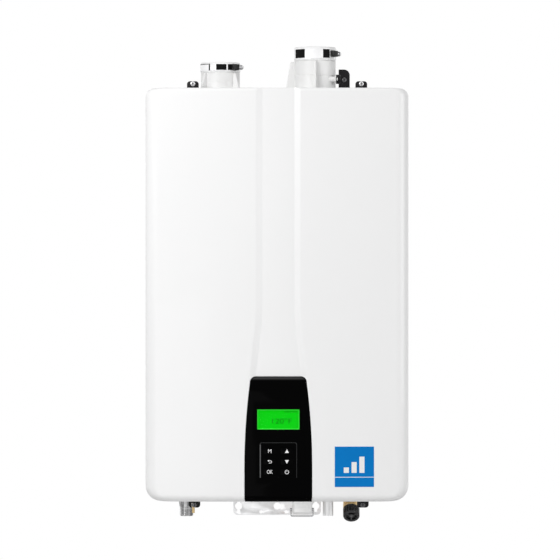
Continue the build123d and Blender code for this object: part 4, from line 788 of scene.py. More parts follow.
@dataclass
class CoverShell:
    """Pressed front cover with its channel and the opening for the fascia, in metres."""

    plan: CasePlan = PLAN
    edge: float = 0.022
    top_corner: float = 0.015
    bottom_corner: float = 0.027
    top_edge: float = 0.0055
    bottom_edge: float = 0.0115
    crown: float = 0.0055
    channel_depth: float = 0.005
    outer: Point = (0.0372, 0.0489, 0.0530)
    inner: Point = (0.0270, 0.0380, 0.0420)
    straight_z: float = -0.3228
    foot_z: float = -0.424
    fade_z: float = -0.476
    bend: float = 0.12
    soft: float = 0.0004
    margin: float = 0.003
    clearance: float = 0.0008
    parts: tuple[tuple[str, int], ...] = (("side", 6), ("arc", 12), ("wing", 16), ("flank", 14), ("floor", 8))
    top_rows: int = 14
    wall_rows: int = 84
    foot_rows: int = 16

    @staticmethod
    def _ease(share: float) -> float:
        """Smooth step of a share between 0 and 1.

        Args:
            share: The share.

        Returns:
            The eased share.
        """
        share = min(1.0, max(0.0, share))
        return share * share * (3 - 2 * share)

    def _half(self, sizes: Point, z: float) -> float:
        """Half-width of the channel at a height.

        Args:
            sizes: Half-widths of the straight, the foot and the end.
            z: The height.

        Returns:
            The half-width there.
        """
        if z >= self.foot_z:
            share = (self.straight_z - z) / (self.straight_z - self.foot_z)
            if share < self.bend:
                share = max(0.0, share + self.bend) ** 2 / (4 * self.bend)
            return sizes[0] + (sizes[1] - sizes[0]) * share
        share = (self.foot_z - z) / (self.foot_z - self.fade_z)
        return sizes[1] + (sizes[2] - sizes[1]) * min(1.0, share)

    def end_cut(self, z: float) -> Pair:
        """How far the end rounding draws in the sides and the front at a height.

        Args:
            z: The height.

        Returns:
            The side cut and the front cut.
        """
        if z > self.plan.top - self.top_corner:
            corner, edge, rest = self.top_corner, self.top_edge, self.plan.top - z
        elif z < self.plan.floor + self.bottom_corner:
            corner, edge, rest = self.bottom_corner, self.bottom_edge, z - self.plan.floor
        else:
            return 0.0, 0.0
        rest = min(max(rest, 0.0), corner)
        depth = max(edge - rest, 0.0)
        return (corner - math.sqrt(max(0.0, corner ** 2 - (corner - rest) ** 2)),
                edge - math.sqrt(max(0.0, edge ** 2 - depth ** 2)))

    def _columns(self) -> list[tuple[str, float]]:
        """Stations round the section, as a kind and a share along it.

        Returns:
            The stations from the left rim to the right rim.
        """
        half = [(kind, 1 + step / count) for kind, count in self.parts for step in range(count)]
        return [(kind, -share) for kind, share in half] + [("floor", 0.0)] + half[::-1]

    def _point(self, kind: str, station: float, z: float) -> Point:
        """Place of a station at a height.

        Args:
            kind: What part of the section it is on.
            station: Its side by sign, and its share along that part plus one.
            z: The height.

        Returns:
            The point on the outside of the cover.
        """
        side_cut, front_cut = self.end_cut(z)
        half = self.plan.half_width - side_cut
        shoulder = half - self.edge
        cheek = self.plan.front + front_cut + self.crown
        side = -1.0 if station < 0 else 1.0
        share = abs(station) - 1 if abs(station) >= 1 else 1.0
        if kind == "side":
            return side * half, self.plan.split + (cheek + self.edge - self.plan.split) * share, z
        if kind == "arc":
            turn = share * math.pi / 2
            return (side * (shoulder + self.edge * math.cos(turn)),
                    cheek + self.edge - self.edge * math.sin(turn), z)
        outer, inner = self._half(self.outer, z), self._half(self.inner, z)
        start, stop = outer + self.margin, inner - self.margin
        if kind == "wing":
            x = side * shoulder + (self.plan.shift + side * start - side * shoulder) * share
        elif kind == "flank":
            x = self.plan.shift + side * (start + (stop - start) * share)
        else:
            x = self.plan.shift + side * stop * (1 - share)
        return x, self._front(x, z, shoulder, cheek, outer, inner), z

    def _front(self, x: float, z: float, shoulder: float, cheek: float, outer: float, inner: float) -> float:
        """Depth of the cover's front at a place.

        Args:
            x: Place across.
            z: Height.
            shoulder: Where the crown ends.
            cheek: Depth there.
            outer: Outer half-width of the channel.
            inner: Half-width of its floor.

        Returns:
            The depth.
        """
        radius = (shoulder ** 2 + self.crown ** 2) / (2 * self.crown)
        crowned = cheek - self.crown + radius - math.sqrt(max(0.0, radius ** 2 - x ** 2))
        fade = 1 - self._ease((self.foot_z - z) / (self.foot_z - self.fade_z))
        away = (outer - abs(x - self.plan.shift)) / (outer - inner)
        sunk = self.plan.front + self.channel_depth * fade * min(1.0, away)
        gap = abs(crowned - sunk)
        bulge = max(0.0, self.soft - gap) ** 2 / (4 * self.soft)
        if crowned >= sunk:
            return crowned + bulge
        edge_gap = abs(away - 1.0) * self.channel_depth
        dip = max(0.0, self.soft - edge_gap) ** 2 / (4 * self.soft)
        return sunk + bulge - dip * 0.5 * fade

    def _levels(self) -> list[float]:
        """Heights of the rows, closer together in the end rounding.

        Returns:
            The heights from the top down.
        """
        start = self.plan.top - self.top_corner
        end = self.plan.floor + self.bottom_corner
        quarter = math.pi / 2
        levels = [start + self.top_corner * math.cos(quarter * step / self.top_rows)
                  for step in range(self.top_rows)]
        levels += [start + (end - start) * step / self.wall_rows for step in range(self.wall_rows)]
        return levels + [end - self.bottom_corner * math.sin(quarter * step / self.foot_rows)
                         for step in range(self.foot_rows + 1)]

    def build(self, workshop: Workshop) -> None:
        """Make the shell with its ends closed, its thickness and its opening.

        Args:
            workshop: The materials.
        """
        columns, levels = self._columns(), self._levels()
        bm = bmesh.new()
        bmesh.ops.create_grid(bm, x_segments=len(columns) - 1, y_segments=len(levels) - 1, size=0.5)
        for vert in bm.verts:
            column = round((vert.co.x + 0.5) * (len(columns) - 1))
            row = round((0.5 - vert.co.y) * (len(levels) - 1))
            vert.co = self._point(*columns[column], levels[row])
        for level in (self.plan.top, self.plan.floor):
            self._close_end(bm, level)
        bmesh.ops.recalc_face_normals(bm, faces=bm.faces)
        cover = Mesh.finish("cover_shell", bm)
        front = min(cover.data.polygons, key=lambda face: face.center.y)
        if front.normal.y > 0:
            cover.data.flip_normals()
        wall = cover.modifiers.new("sheet", "SOLIDIFY")
        wall.thickness = self.plan.sheet
        wall.offset = -1.0
        Mesh.bake(cover, SMOOTH)
        Mesh.carve(cover, [ControlPanel().cutter(self.clearance)], 40.0)
        workshop.settle(cover, "paint", "cover", Slot.PAINT, "front_cover")

    def _close_end(self, bm: Shape, level: float) -> None:
        """Close the shell's flat end at a height.

        Args:
            bm: The shell.
            level: The height of that end.
        """
        rim = [vert for vert in bm.verts if abs(vert.co.z - level) < WELD]
        edges = [edge for edge in bm.edges
                 if edge.verts[0] in rim and edge.verts[1] in rim and edge.is_boundary]
        face = bm.faces.new(self._chain(edges))
        bmesh.ops.inset_region(bm, faces=[face], thickness=0.002, use_boundary=False, use_even_offset=True)

    @staticmethod
    def _chain(edges: list[bmesh.types.BMEdge]) -> list[bmesh.types.BMVert]:
        """Vertices of an open run of edges, in order.

        Args:
            edges: The edges.

        Returns:
            The vertices from one end to the other.
        """
        links: dict[bmesh.types.BMVert, list[bmesh.types.BMVert]] = {}
        for edge in edges:
            first, second = edge.verts
            links.setdefault(first, []).append(second)
            links.setdefault(second, []).append(first)
        chain = [next(vert for vert, near in links.items() if len(near) == 1)]
        while True:
            step = [vert for vert in links[chain[-1]] if vert not in chain[-2:]]
            if not step:
                return chain
            chain.append(step[0])


@dataclass
class ControlPanel:
    """Black control panel at the foot of the channel, in metres."""

    plan: CasePlan = PLAN
    top: float = -0.4223
    half_top: float = 0.0453
    half: float = 0.0558
    straight: float = 0.056
    corner: float = 0.009
    back: float = -0.322
    foot: float = 0.0115
    slope_height: float = 0.006
    slope_depth: float = 0.004
    slope_shine: float = 0.25
    face_shine: float = 0.016
    window_width: float = 0.0703
    window_height: float = 0.0334
    window_z: float = -0.4933
    glow_rim: float = 0.0017
    reading_size: float = 0.0154
    key_width: float = 0.021
    key_height: float = 0.0115
    key_gap: float = 0.0006
    key_pitch_x: float = 0.0286
    key_pitch_z: float = 0.0173
    key_drop: float = 0.124
    key_back: float = -0.3303
    key_top: float = -0.33612
    lip_half_width: float = 0.0117
    lip_half_height: float = 0.00695
    legend_size: float = 0.0092
    legend_thick: float = 0.0001
    stroke: float = 0.0009
    trim_width: float = 0.0619
    trim_height: float = 0.0586
    trim_drop: float = 0.1094
    trim_line: float = 0.0008
    trim_corner: float = 0.0030

    def outline(self, grow: float, steps: int) -> list[Pair]:
        """Outline of the panel seen from the front.

        Args:
            grow: How far the outline is set out.
            steps: Steps up each bowed side.

        Returns:
            Points of x and z, anticlockwise from the lower left.
        """
        half, corner = self.half + grow, self.corner + grow
        knee, top = self.plan.floor + self.straight, self.top + grow
        lean, rise = self.half - self.half_top, top - knee
        bow = (rise ** 2 + lean ** 2) / (2 * lean)
        right = [(half, self.plan.floor - grow)]
        for step in range(steps + 1):
            height = (rise - corner) * step / steps
            right.append((half - bow + math.sqrt(bow ** 2 - height ** 2), knee + height))
        right += quarter_round(right[-1][0] - corner, top - corner, corner, 0.0, 8)[1:]
        shift = self.plan.shift
        return [(shift + x, z) for x, z in right] + [(shift - x, z) for x, z in reversed(right)]

    def cutter(self, grow: float) -> Piece:
        """Block of the panel's outline that opens the cover.

        Args:
            grow: Clearance round the panel.

        Returns:
            The block.
        """
        return Mesh.finish("panel_space", Mesh.plate(self.outline(grow, 20), 0.180),
                           facing_front(0, self.plan.split + 0.020, 0))

    def _draw_back(self, z: float) -> float:
        """How far the panel's front lies back at a height, from its sloping top and its rounded foot.

        Args:
            z: The height.

        Returns:
            The depth behind the front plane.
        """
        knee = self.top - self.slope_height
        if z > knee:
            share = (z - knee) / self.slope_height
            return self.slope_depth * share * (0.35 + 0.65 * share)
        rest = z - self.plan.floor
        if rest < self.foot:
            reach = self.foot - math.sqrt(max(0.0, self.foot ** 2 - (self.foot - rest) ** 2))
            return min(reach, self.foot - 0.001)
        return 0.0

    def _shell(self) -> Piece:
        """Fascia with its sloping top, rounded foot and hollow back, before its openings.

        Returns:
            The fascia's body.
        """
        depth = self.back - self.plan.front
        bm = Mesh.plate(self.outline(0.0, 30), depth, 0.0012, 3)
        Mesh.move(bm, facing_front(0, self.back, 0))
        heights = [self.top - self.slope_height * (1 - step / 6) for step in range(6)]
        heights += [self.plan.floor + self.foot * (1 - math.cos(math.pi / 2 * step / 10))
                    for step in range(1, 11)]
        for height in heights:
            bmesh.ops.bisect_plane(bm, geom=bm.verts[:] + bm.edges[:] + bm.faces[:], dist=1e-6,
                                   plane_co=(0, 0, height), plane_no=(0, 0, 1))
        for vert in bm.verts:
            share = (self.back - vert.co.y) / depth
            vert.co.y += self._draw_back(vert.co.z) * min(1.0, share)
        return Mesh.finish("panel_fascia", bm, smooth=25.0)

    def build(self, workshop: Workshop) -> None:
        """Make the panel and everything on it.

        Args:
            workshop: The materials.
        """
        fascia = self._shell()
        hollow = Mesh.plate(self.outline(-0.002, 16), 0.012)
        Mesh.move(hollow, facing_front(0, self.back + 0.001, 0))
        for vert in hollow.verts:
            if vert.co.y < self.back:
                vert.co.y += self._draw_back(vert.co.z) * 0.9
        cutters = [Mesh.finish("hollow", hollow)]
        window = Mesh.rounded_outline(self.window_width, self.window_height, 0.0006)
        space = Mesh.rounded_outline(self.key_width + self.key_gap, self.key_height + self.key_gap, 0.0033)
        openings = [(window, self.plan.shift, self.window_z)]
        openings += [(space, *self.key_place(row, column)) for row in range(3) for column in range(2)]
        for outline, x, z in openings:
            cutters.append(Mesh.finish("opening", Mesh.plate(outline, 0.024),
                                       facing_front(x, self.back + 0.004, z)))
        Mesh.carve(fascia, cutters, 25.0)
        workshop.settle(fascia, "gloss_black", "case", Slot.BLACK, "control_fascia")
        self._polish_top(fascia.data.materials[0])
        self._display(workshop)
        self._keys(workshop)
        self._trim(workshop)

    def _polish_top(self, material: bpy.types.Material) -> None:
        """Let the sloping top catch the light while the face stays deep black.

        Args:
            material: The fascia's material.
        """
        nodes, links = material.node_tree.nodes, material.node_tree.links
        place = add_node(nodes, "TexCoord")
        parts = add_node(nodes, "SeparateXYZ")
        knee = self.top - self.slope_height
        rise = add_node(nodes, "MapRange", {"From Min": knee, "From Max": knee + self.slope_height / 2,
                                            "To Min": self.face_shine, "To Max": self.slope_shine})
        links.new(place.outputs["Object"], parts.inputs[0])
        links.new(parts.outputs["Z"], rise.inputs["Value"])
        links.new(rise.outputs["Result"], nodes["Principled BSDF"].inputs["Specular IOR Level"])

    def key_place(self, row: int, column: int) -> Pair:
        """Centre of a key.

        Args:
            row: Its row from the top.
            column: Its column from the left.

        Returns:
            Its place across and its height.
        """
        return (self.plan.shift + (column - 0.5) * self.key_pitch_x,
                self.top - self.key_drop - row * self.key_pitch_z)

    def _display(self, workshop: Workshop) -> None:
        """Lit display with its edge glow and reading, behind a clear window.

        Args:
            workshop: The materials.
        """
        x, z = self.plan.shift, self.window_z
        wide, tall, rim = self.window_width, self.window_height, 2 * self.glow_rim
        edge = Mesh.plate(Mesh.rounded_outline(wide, tall, 0.0008), 0.0049)
        workshop.make("display_edge", edge, "lit_border", Slot.DISPLAY, "display_module",
                      place=facing_front(x, -0.328, z))
        lit = Mesh.plate(Mesh.rounded_outline(wide - rim, tall - rim, 0.0015), 0.0001)
        workshop.make("display_field", lit, "lit_green", Slot.DISPLAY, place=facing_front(x, -0.3329, z))
        words = Mesh.letters("120\u00b0F", self.reading_size)
        bmesh.ops.scale(words, vec=(1.0, 0.8, 1.0), verts=words.verts)
        workshop.make("display_reading", words, "display_mark", Slot.DISPLAY,
                      place=facing_front(x + 0.0048, -0.33306, z - 0.0033))
        marks = bmesh.new()
        for step in range(5):
            size = 0.0032 if step % 2 else 0.0022
            Mesh.add(marks, Mesh.plate(Mesh.rounded_outline(size, 0.0016, 0.0003), HAIR),
                     facing_front(x + 0.0115 + step * 0.0046, -0.33302, z + 0.0124))
        workshop.make("display_marks", marks, "display_mark", Slot.DISPLAY)
        pane = Mesh.plate(Mesh.rounded_outline(wide, tall, 0.0005), 0.0028, 0.0002)
        workshop.make("display_pane", pane, "clear_pane", Slot.CLEAR, "display_window",
                      place=facing_front(x, -0.3332, z))

    def _keys(self, workshop: Workshop) -> None:
        """Six key caps with raised legends.

        Args:
            workshop: The materials.
        """
        legends = ((self._word("M", 0.95), self._triangle(1)), (self._return_arrow(), self._triangle(-1)),
                   (self._word("OK", 0.72), self._power()))
        outline = Mesh.rounded_outline(self.key_width, self.key_height, 0.003)
        wide, tall = self.lip_half_width, self.lip_half_height
        for row, marks in enumerate(legends):
            for column, mark in enumerate(marks):
                x, z = self.key_place(row, column)
                name = f"key_{row + 1}_{column + 1}"
                bm = Mesh.plate(outline, 0.0058, 0.0003, 2)
                Mesh.move(bm, facing_front(x, self.key_back, z))
                lip = Mesh.box((x - wide, -0.3328, z - tall), (x + wide, -0.3313, z + tall), 0.0002, 1)
                Mesh.add(bm, lip)
                workshop.make(name + "_cap", bm, "key_black", Slot.BLACK, name, body=name)
                workshop.make(name + "_legend", mark, "legend_and_highlight_white", Slot.WHITE, body=name,
                              place=facing_front(x, self.key_top, z))

    def _word(self, text: str, stretch: float) -> Shape:
        """Raised letters of a key.

        Args:
            text: What they read.
            stretch: How wide they are drawn.

        Returns:
            The letters, with a little thickness.
        """
        bm = Mesh.letters(text, self.legend_size)
        bmesh.ops.scale(bm, vec=(stretch, 1.0, 1.0), verts=bm.verts)
        Mesh.draw_out(bm, (0, 0, self.legend_thick))
        return bm

    def _triangle(self, way: int) -> Shape:
        """Raised triangle that points up or down.

        Args:
            way: 1 for up, -1 for down.

        Returns:
            The triangle.
        """
        low, high = -0.0027 * way, 0.0034 * way
        return Mesh.plate([(0.0034, low), (0.0, high), (-0.0034, low)], self.legend_thick)

    def _arc(self, radius: float, start: float, end: float, steps: int) -> Shape:
        """Raised part of a ring.

        Args:
            radius: Middle radius.
            start: First angle in degrees.
            end: Last angle in degrees.
            steps: Steps along it.

        Returns:
            The arc.
        """
        turns = [math.radians(start + (end - start) * step / steps) for step in range(steps + 1)]
        outer, inner = ([(size * math.cos(turn), size * math.sin(turn)) for turn in turns]
                        for size in (radius + self.stroke / 2, radius - self.stroke / 2))
        return Mesh.plate(outer + inner[::-1], self.legend_thick)

    def _return_arrow(self) -> Shape:
        """Raised arrow that turns back to the left.

        Returns:
            The arrow.
        """
        bm = self._arc(0.0019, -90, 90, 18)
        Mesh.move(bm, Matrix.Translation((0.0012, -0.0004, 0)))
        right = 0.0013
        for low, left in ((0.00105, -0.0016), (-0.00275, -0.0014)):
            bar = [(left, low), (right, low), (right, low + self.stroke), (left, low + self.stroke)]
            Mesh.add(bm, Mesh.plate(bar, self.legend_thick))
        head = [(-0.0036, 0.0015), (-0.0012, -0.0004), (-0.0012, 0.0034)]
        Mesh.add(bm, Mesh.plate(head, self.legend_thick))
        return bm

    def _power(self) -> Shape:
        """Raised power mark.

        Returns:
            The open ring with its bar.
        """
        bm = self._arc(0.0031, 122, 418, 26)
        half, low, high = self.stroke / 2, 0.0004, 0.0040
        Mesh.add(bm, Mesh.plate([(-half, low), (half, low), (half, high), (-half, high)], self.legend_thick))
        return bm

    def _trim(self, workshop: Workshop) -> None:
        """Thin silver line round the keys, open at the foot, painted darker as shade, with a painted
        highlight strip down its left side.

        Args:
            workshop: The materials.
        """
        half, rise, line, corner = self.trim_width / 2, self.trim_height, self.trim_line, self.trim_corner
        path = [(half, -rise)] + quarter_round(half - corner, -corner, corner, 0.0, 6)
        outer = path + [(-x, z) for x, z in reversed(path)]
        shrink = (half - line) / half
        inner = [(x * shrink, z if z < -corner else z - line) for x, z in outer]
        place = facing_front(self.plan.shift, self.plan.front, self.top - self.trim_drop)
        workshop.make("key_trim_line", Mesh.plate(outer + inner[::-1], 0.0002), "trim_shaded", Slot.BLACK,
                      place=place)
        # A lighter strip on the left side is a painted highlight.
        left, right, high = -half, 0.0017 - half, -0.0035
        side = Mesh.plate([(left, -rise), (right, -rise), (right, high), (left, high)], 0.00028)
        workshop.make("key_trim_lit_side", side, "trim_lit_side", Slot.BLACK, place=place)


@dataclass
class Studio:
    """Camera, lamps, floor and white surroundings, in metres and watts."""

    camera_at: Point = (0.005, -6.310, -0.2609)
    lens: float = 230.5
    aim: Point = (0.0, -0.2, -0.28)
    floor_z: float = -0.95
    floor_half: float = 1.2
    ambient: float = 0.29
    lamps: tuple[tuple[str, Point, float, float], ...] = (
        ("key", (-1.05, -1.55, 0.55), 0.7, 17.5),
        ("fill", (2.0, -1.1, 0.1), 1.3, 16.5),
        ("top", (0.0, -1.0, 2.8), 2.0, 10.0),
        ("low", (-0.6, -1.8, -0.70), 0.8, 2.8),
        ("glint", (-0.9, -2.2, 1.6), 0.3, 5.0),
    )

    def build(self) -> None:
        """Set up everything round the object."""
        scene = bpy.context.scene
        scene.view_settings.view_transform = "Standard"
        camera = bpy.data.cameras.new("camera")
        camera.lens = self.lens
        camera.sensor_width = 36.0
        camera.clip_end = 50.0
        scene.camera = self._place("camera", camera, self.camera_at)
        scene.camera.rotation_euler = (math.pi / 2, 0.0, 0.0)
        for name, place, size, power in self.lamps:
            lamp = bpy.data.lights.new(name, "AREA")
            lamp.size = size
            lamp.energy = power
            aim = Vector(self.aim) - Vector(place)
            self._place(name, lamp, place).rotation_euler = aim.to_track_quat("-Z", "Y").to_euler()
        self._world()
        self._floor()

    @staticmethod
    def _place(name: str, data: bpy.types.ID, place: Point) -> Piece:
        """Link a camera or a lamp.

        Args:
            name: Its name.
            data: What it is.
            place: Where it is.

        Returns:
            Its object.
        """
        holder = bpy.data.objects.new(name, data)
        holder.location = place
        bpy.context.scene.collection.objects.link(holder)
        return holder

    def _world(self) -> None:
        """White to the camera and in reflections, softer as light."""
        world = bpy.data.worlds.new("surroundings")
        bpy.context.scene.world = world
        world.use_nodes = True
        nodes, links = world.node_tree.nodes, world.node_tree.links
        path = add_node(nodes, "LightPath")
        first = add_node(nodes, "Math", operation="MAXIMUM")
        second = add_node(nodes, "Math", operation="MAXIMUM")
        level = add_node(nodes, "MapRange", {"To Min": self.ambient, "To Max": 1.0})
        back = nodes["Background"]
        set_inputs(back, {"Color": (1.0, 1.0, 1.0, 1.0)})
        for source, target in (
                (path.outputs["Is Camera Ray"], first.inputs[0]),
                (path.outputs["Is Glossy Ray"], first.inputs[1]),
                (path.outputs["Is Transmission Ray"], second.inputs[1]),
                (first.outputs[0], second.inputs[0]),
                (second.outputs[0], level.inputs["Value"]),
                (level.outputs[0], back.inputs["Strength"])):
            links.new(source, target)

    def _floor(self) -> None:
        """Pale floor below the object."""
        bm = bmesh.new()
        bmesh.ops.create_grid(bm, x_segments=4, y_segments=4, size=self.floor_half)
        floor = Mesh.finish("studio_floor", bm, Matrix.Translation((0.0, 0.0, self.floor_z)))
        material = bpy.data.materials.new("studio_floor")
        material.use_nodes = True
        set_inputs(material.node_tree.nodes["Principled BSDF"],
                   {"Base Color": (0.85, 0.85, 0.85, 1.0), "Roughness": 0.9})
        floor.data.materials.append(material)


def screw_head(radius: float, height: float) -> Shape:
    """Pan head that stands on the XY plane.

    Args:
        radius: Its radius.
        height: Its height.

    Returns:
        The head.
    """
    rim = [(radius * (0.62 + 0.38 * x), height * (0.35 + 0.65 * y))
           for x, y in quarter_round(0.0, 0.0, 1.0, 0.0, 6)]
    return Mesh.lathe([(0.0, 0.0), (radius, 0.0), *rim, (0.0, height)], 32)


def screw_cross(reach: float, width: float) -> Shape:
    """Flat cross, painted dark to stand for the shade in a screw's recess.

    Args:
        reach: Half-length of each arm.
        width: Width of each arm.

    Returns:
        The cross.
    """
    half = width / 2
    arm = ((half, reach), (-half, reach), (-half, half))
    turns = ((1, 0), (0, 1), (-1, 0), (0, -1))
    return Mesh.plate([(x * c - y * s, x * s + y * c) for c, s in turns for x, y in arm], HAIR)


@dataclass
class CoverDress:
    """Label, lugs and screws of the front cover, in metres."""

    plan: CasePlan = PLAN
    label_x: float = 0.129
    label_z: float = -0.5722
    label_width: float = 0.0654
    label_height: float = 0.0673
    label_proud: float = 0.00025
    print_proud: float = 0.00029
    rule_low: float = 0.0158
    rule_high: float = 0.0168
    bar_start: float = 0.0150
    bar_pitch: float = 0.0130
    bar_width: float = 0.0085
    bar_low: float = 0.0235
    bar_rise: float = 0.0090
    lug_width: float = 0.020
    lug_height: float = 0.0185
    lug_corner: float = 0.005
    lug_back: float = -0.1860
    lug_front: float = -0.1885
    foot_back: float = -0.1865
    foot_front: float = -0.200
    foot_thick: float = 0.0025
    stud_x: float = -0.1433
    notch_half: float = 0.0034
    notch_length: float = 0.0080
    screw_rise: float = 0.0139

    def _on_cover(self, x: float, z: float) -> float:
        """Depth of the cover's crown at a place clear of the channel.

        Args:
            x: Place across.
            z: Height.

        Returns:
            The depth of its surface.
        """
        shell = CoverShell()
        side, front = shell.end_cut(z)
        shoulder = self.plan.half_width - side - shell.edge
        radius = (shoulder ** 2 + shell.crown ** 2) / (2 * shell.crown)
        return self.plan.front + front + radius - math.sqrt(radius ** 2 - x ** 2)

    def _patch(self, left: float, right: float, low: float, high: float, proud: float) -> Shape:
        """Thin patch that lies on the crown.

        Args:
            left: Its left edge.
            right: Its right edge.
            low: Its lower edge.
            high: Its upper edge.
            proud: How far it stands off the cover.

        Returns:
            The patch.
        """
        bm = bmesh.new()
        bmesh.ops.create_grid(bm, x_segments=16, y_segments=8, size=0.5)
        for vert in bm.verts:
            x = left + (vert.co.x + 0.5) * (right - left)
            z = low + (vert.co.y + 0.5) * (high - low)
            vert.co = (x, self._on_cover(x, z) - proud, z)
        Mesh.draw_out(bm, (0, proud, 0))
        return bm

    def build(self, workshop: Workshop) -> None:
        """Make the label, with a pale rule and three rising bars, and the four lugs with their screws.

        Args:
            workshop: The materials.
        """
        left, low = self.label_x - self.label_width / 2, self.label_z - self.label_height / 2
        right, high = left + self.label_width, low + self.label_height
        ground = self._patch(left, right, low, high, self.label_proud)
        workshop.make("label_ground", ground, "label_blue", Slot.LABEL, "cover_label", body="cover")
        rule = self._patch(left, right, low + self.rule_low, low + self.rule_high, self.print_proud)
        workshop.make("label_rule", rule, "label_pale", Slot.WHITE, body="cover")
        for step in range(3):
            start, foot = left + self.bar_start + step * self.bar_pitch, low + self.bar_low
            bar = self._patch(start, start + self.bar_width, foot, foot + (step + 1) * self.bar_rise,
                              self.print_proud)
            workshop.make(f"label_bar_{step + 1}", bar, "label_pale", Slot.WHITE, body="cover")
        lugs, recess_shade, upper, lower = (bmesh.new() for _ in range(4))
        for level, way, heads in ((self.plan.top, 1, upper), (self.plan.floor, -1, lower)):
            for side in (-1, 1):
                x = side * self.plan.lug_x + (self.plan.lug_floor_shift if way < 0 else 0.0)
                self._lug(lugs, x, level, way, way < 0 and side < 0)
                z = level + way * self.screw_rise
                Mesh.add(heads, screw_head(0.00425, 0.0026), facing_front(x, self.lug_front, z))
                Mesh.add(recess_shade, screw_cross(0.0028, 0.0011), facing_front(x, self.lug_front - 0.00262, z))
        workshop.make("lugs_of_cover", lugs, "black_moulding", Slot.BLACK, "cover_lugs", body="cover")
        workshop.make("screws_of_cover", upper, "screw_zinc", Slot.BAND, "cover_screws", body="cover")
        # The lower screws are zinc like the upper ones, painted darker as shade.
        workshop.make("shaded_lower_screws_of_cover", lower, "screw_dark_and_shaded", Slot.BAND, body="cover")
        # The flat crosses are painted shade for the screws' recesses.
        workshop.make("screw_recess_shade_of_cover", recess_shade, "painted_shade_black", Slot.BLACK, body="cover")

    def _lug(self, target: Shape, x: float, level: float, way: int, notched: bool) -> None:
        """Add one lug with its foot.

        Args:
            target: The shape that holds the lugs.
            x: Its place across.
            level: The case edge that it stands on.
            way: 1 when it points up, -1 when it points down.
            notched: Whether a notch clears the stud beside it.
        """
        half, rise, radius = self.lug_width / 2, self.lug_height, self.lug_corner
        outline = [(-half, 0.0), (half, 0.0)]
        for sign, start in ((1, 0.0), (-1, 90.0)):
            outline += quarter_round(sign * (half - radius), rise - radius, radius, start, 8)
        if notched:
            first = max(self.stud_x - x - self.notch_half, radius - half)
            last = self.stud_x - x + self.notch_half
            deep = rise - self.notch_length
            outline[11:11] = [(last, rise), (last, deep), (first, deep), (first, rise)]
        plate = Mesh.plate([(across, up * way) for across, up in outline], self.lug_back - self.lug_front,
                           0.0004, 2)
        Mesh.add(target, plate, facing_front(x, self.lug_back, level))
        inner = level - way * self.plan.sheet
        deep = inner - way * self.foot_thick
        for front, back, edge, bevel, segments in ((self.foot_front, self.foot_back, inner, 0.0004, 2),
                                                   (self.lug_front, self.lug_back, level, 0.0003, 1)):
            low, high = sorted((deep, edge))
            Mesh.add(target, Mesh.box((x - half, front, low), (x + half, back, high), bevel, segments))


@dataclass
class WormDrive:
    """Worm housing and screw of a band, in metres."""

    radius: float = 0.0035
    housing: float = 0.014
    width: float = 0.0105
    saddle_share: float = 0.55
    shank: float = 0.019
    head: float = 0.0042
    head_length: float = 0.004

    def build(self, workshop: Workshop, name: str, place: Matrix) -> None:
        """Make the housing and the slotted screw.

        Args:
            workshop: The materials.
            name: Start of the pieces' names.
            place: Where the drive's middle goes, with +X outwards and +Y along the screw.
        """
        radius, half, wide = self.radius, self.housing / 2, self.width / 2
        cage = Mesh.box((-radius, -half, -wide), (radius, half, wide), 0.0014, 3)
        saddle = half * self.saddle_share
        Mesh.add(cage, Mesh.box((-radius - 0.0012, -saddle, -wide - 0.0004),
                                (-radius + 0.0016, saddle, wide + 0.0004), 0.0005, 2))
        workshop.make(name + "_housing", cage, "black_steel", Slot.BAND, place=place)
        end = self.shank - half
        profile = [(0.0, -half + 0.001), (0.0024, -half + 0.001), (0.0024, half), (0.0019, half + 0.0004),
                   (0.0019, end), (self.head, end), (self.head, end + self.head_length * 0.7),
                   (self.head * 0.82, end + self.head_length), (0.0, end + self.head_length)]
        workshop.make(name + "_screw", Mesh.lathe(profile, 24), "screw_zinc", Slot.BAND,
                      place=place @ Matrix.Rotation(-math.pi / 2, 4, "X"))


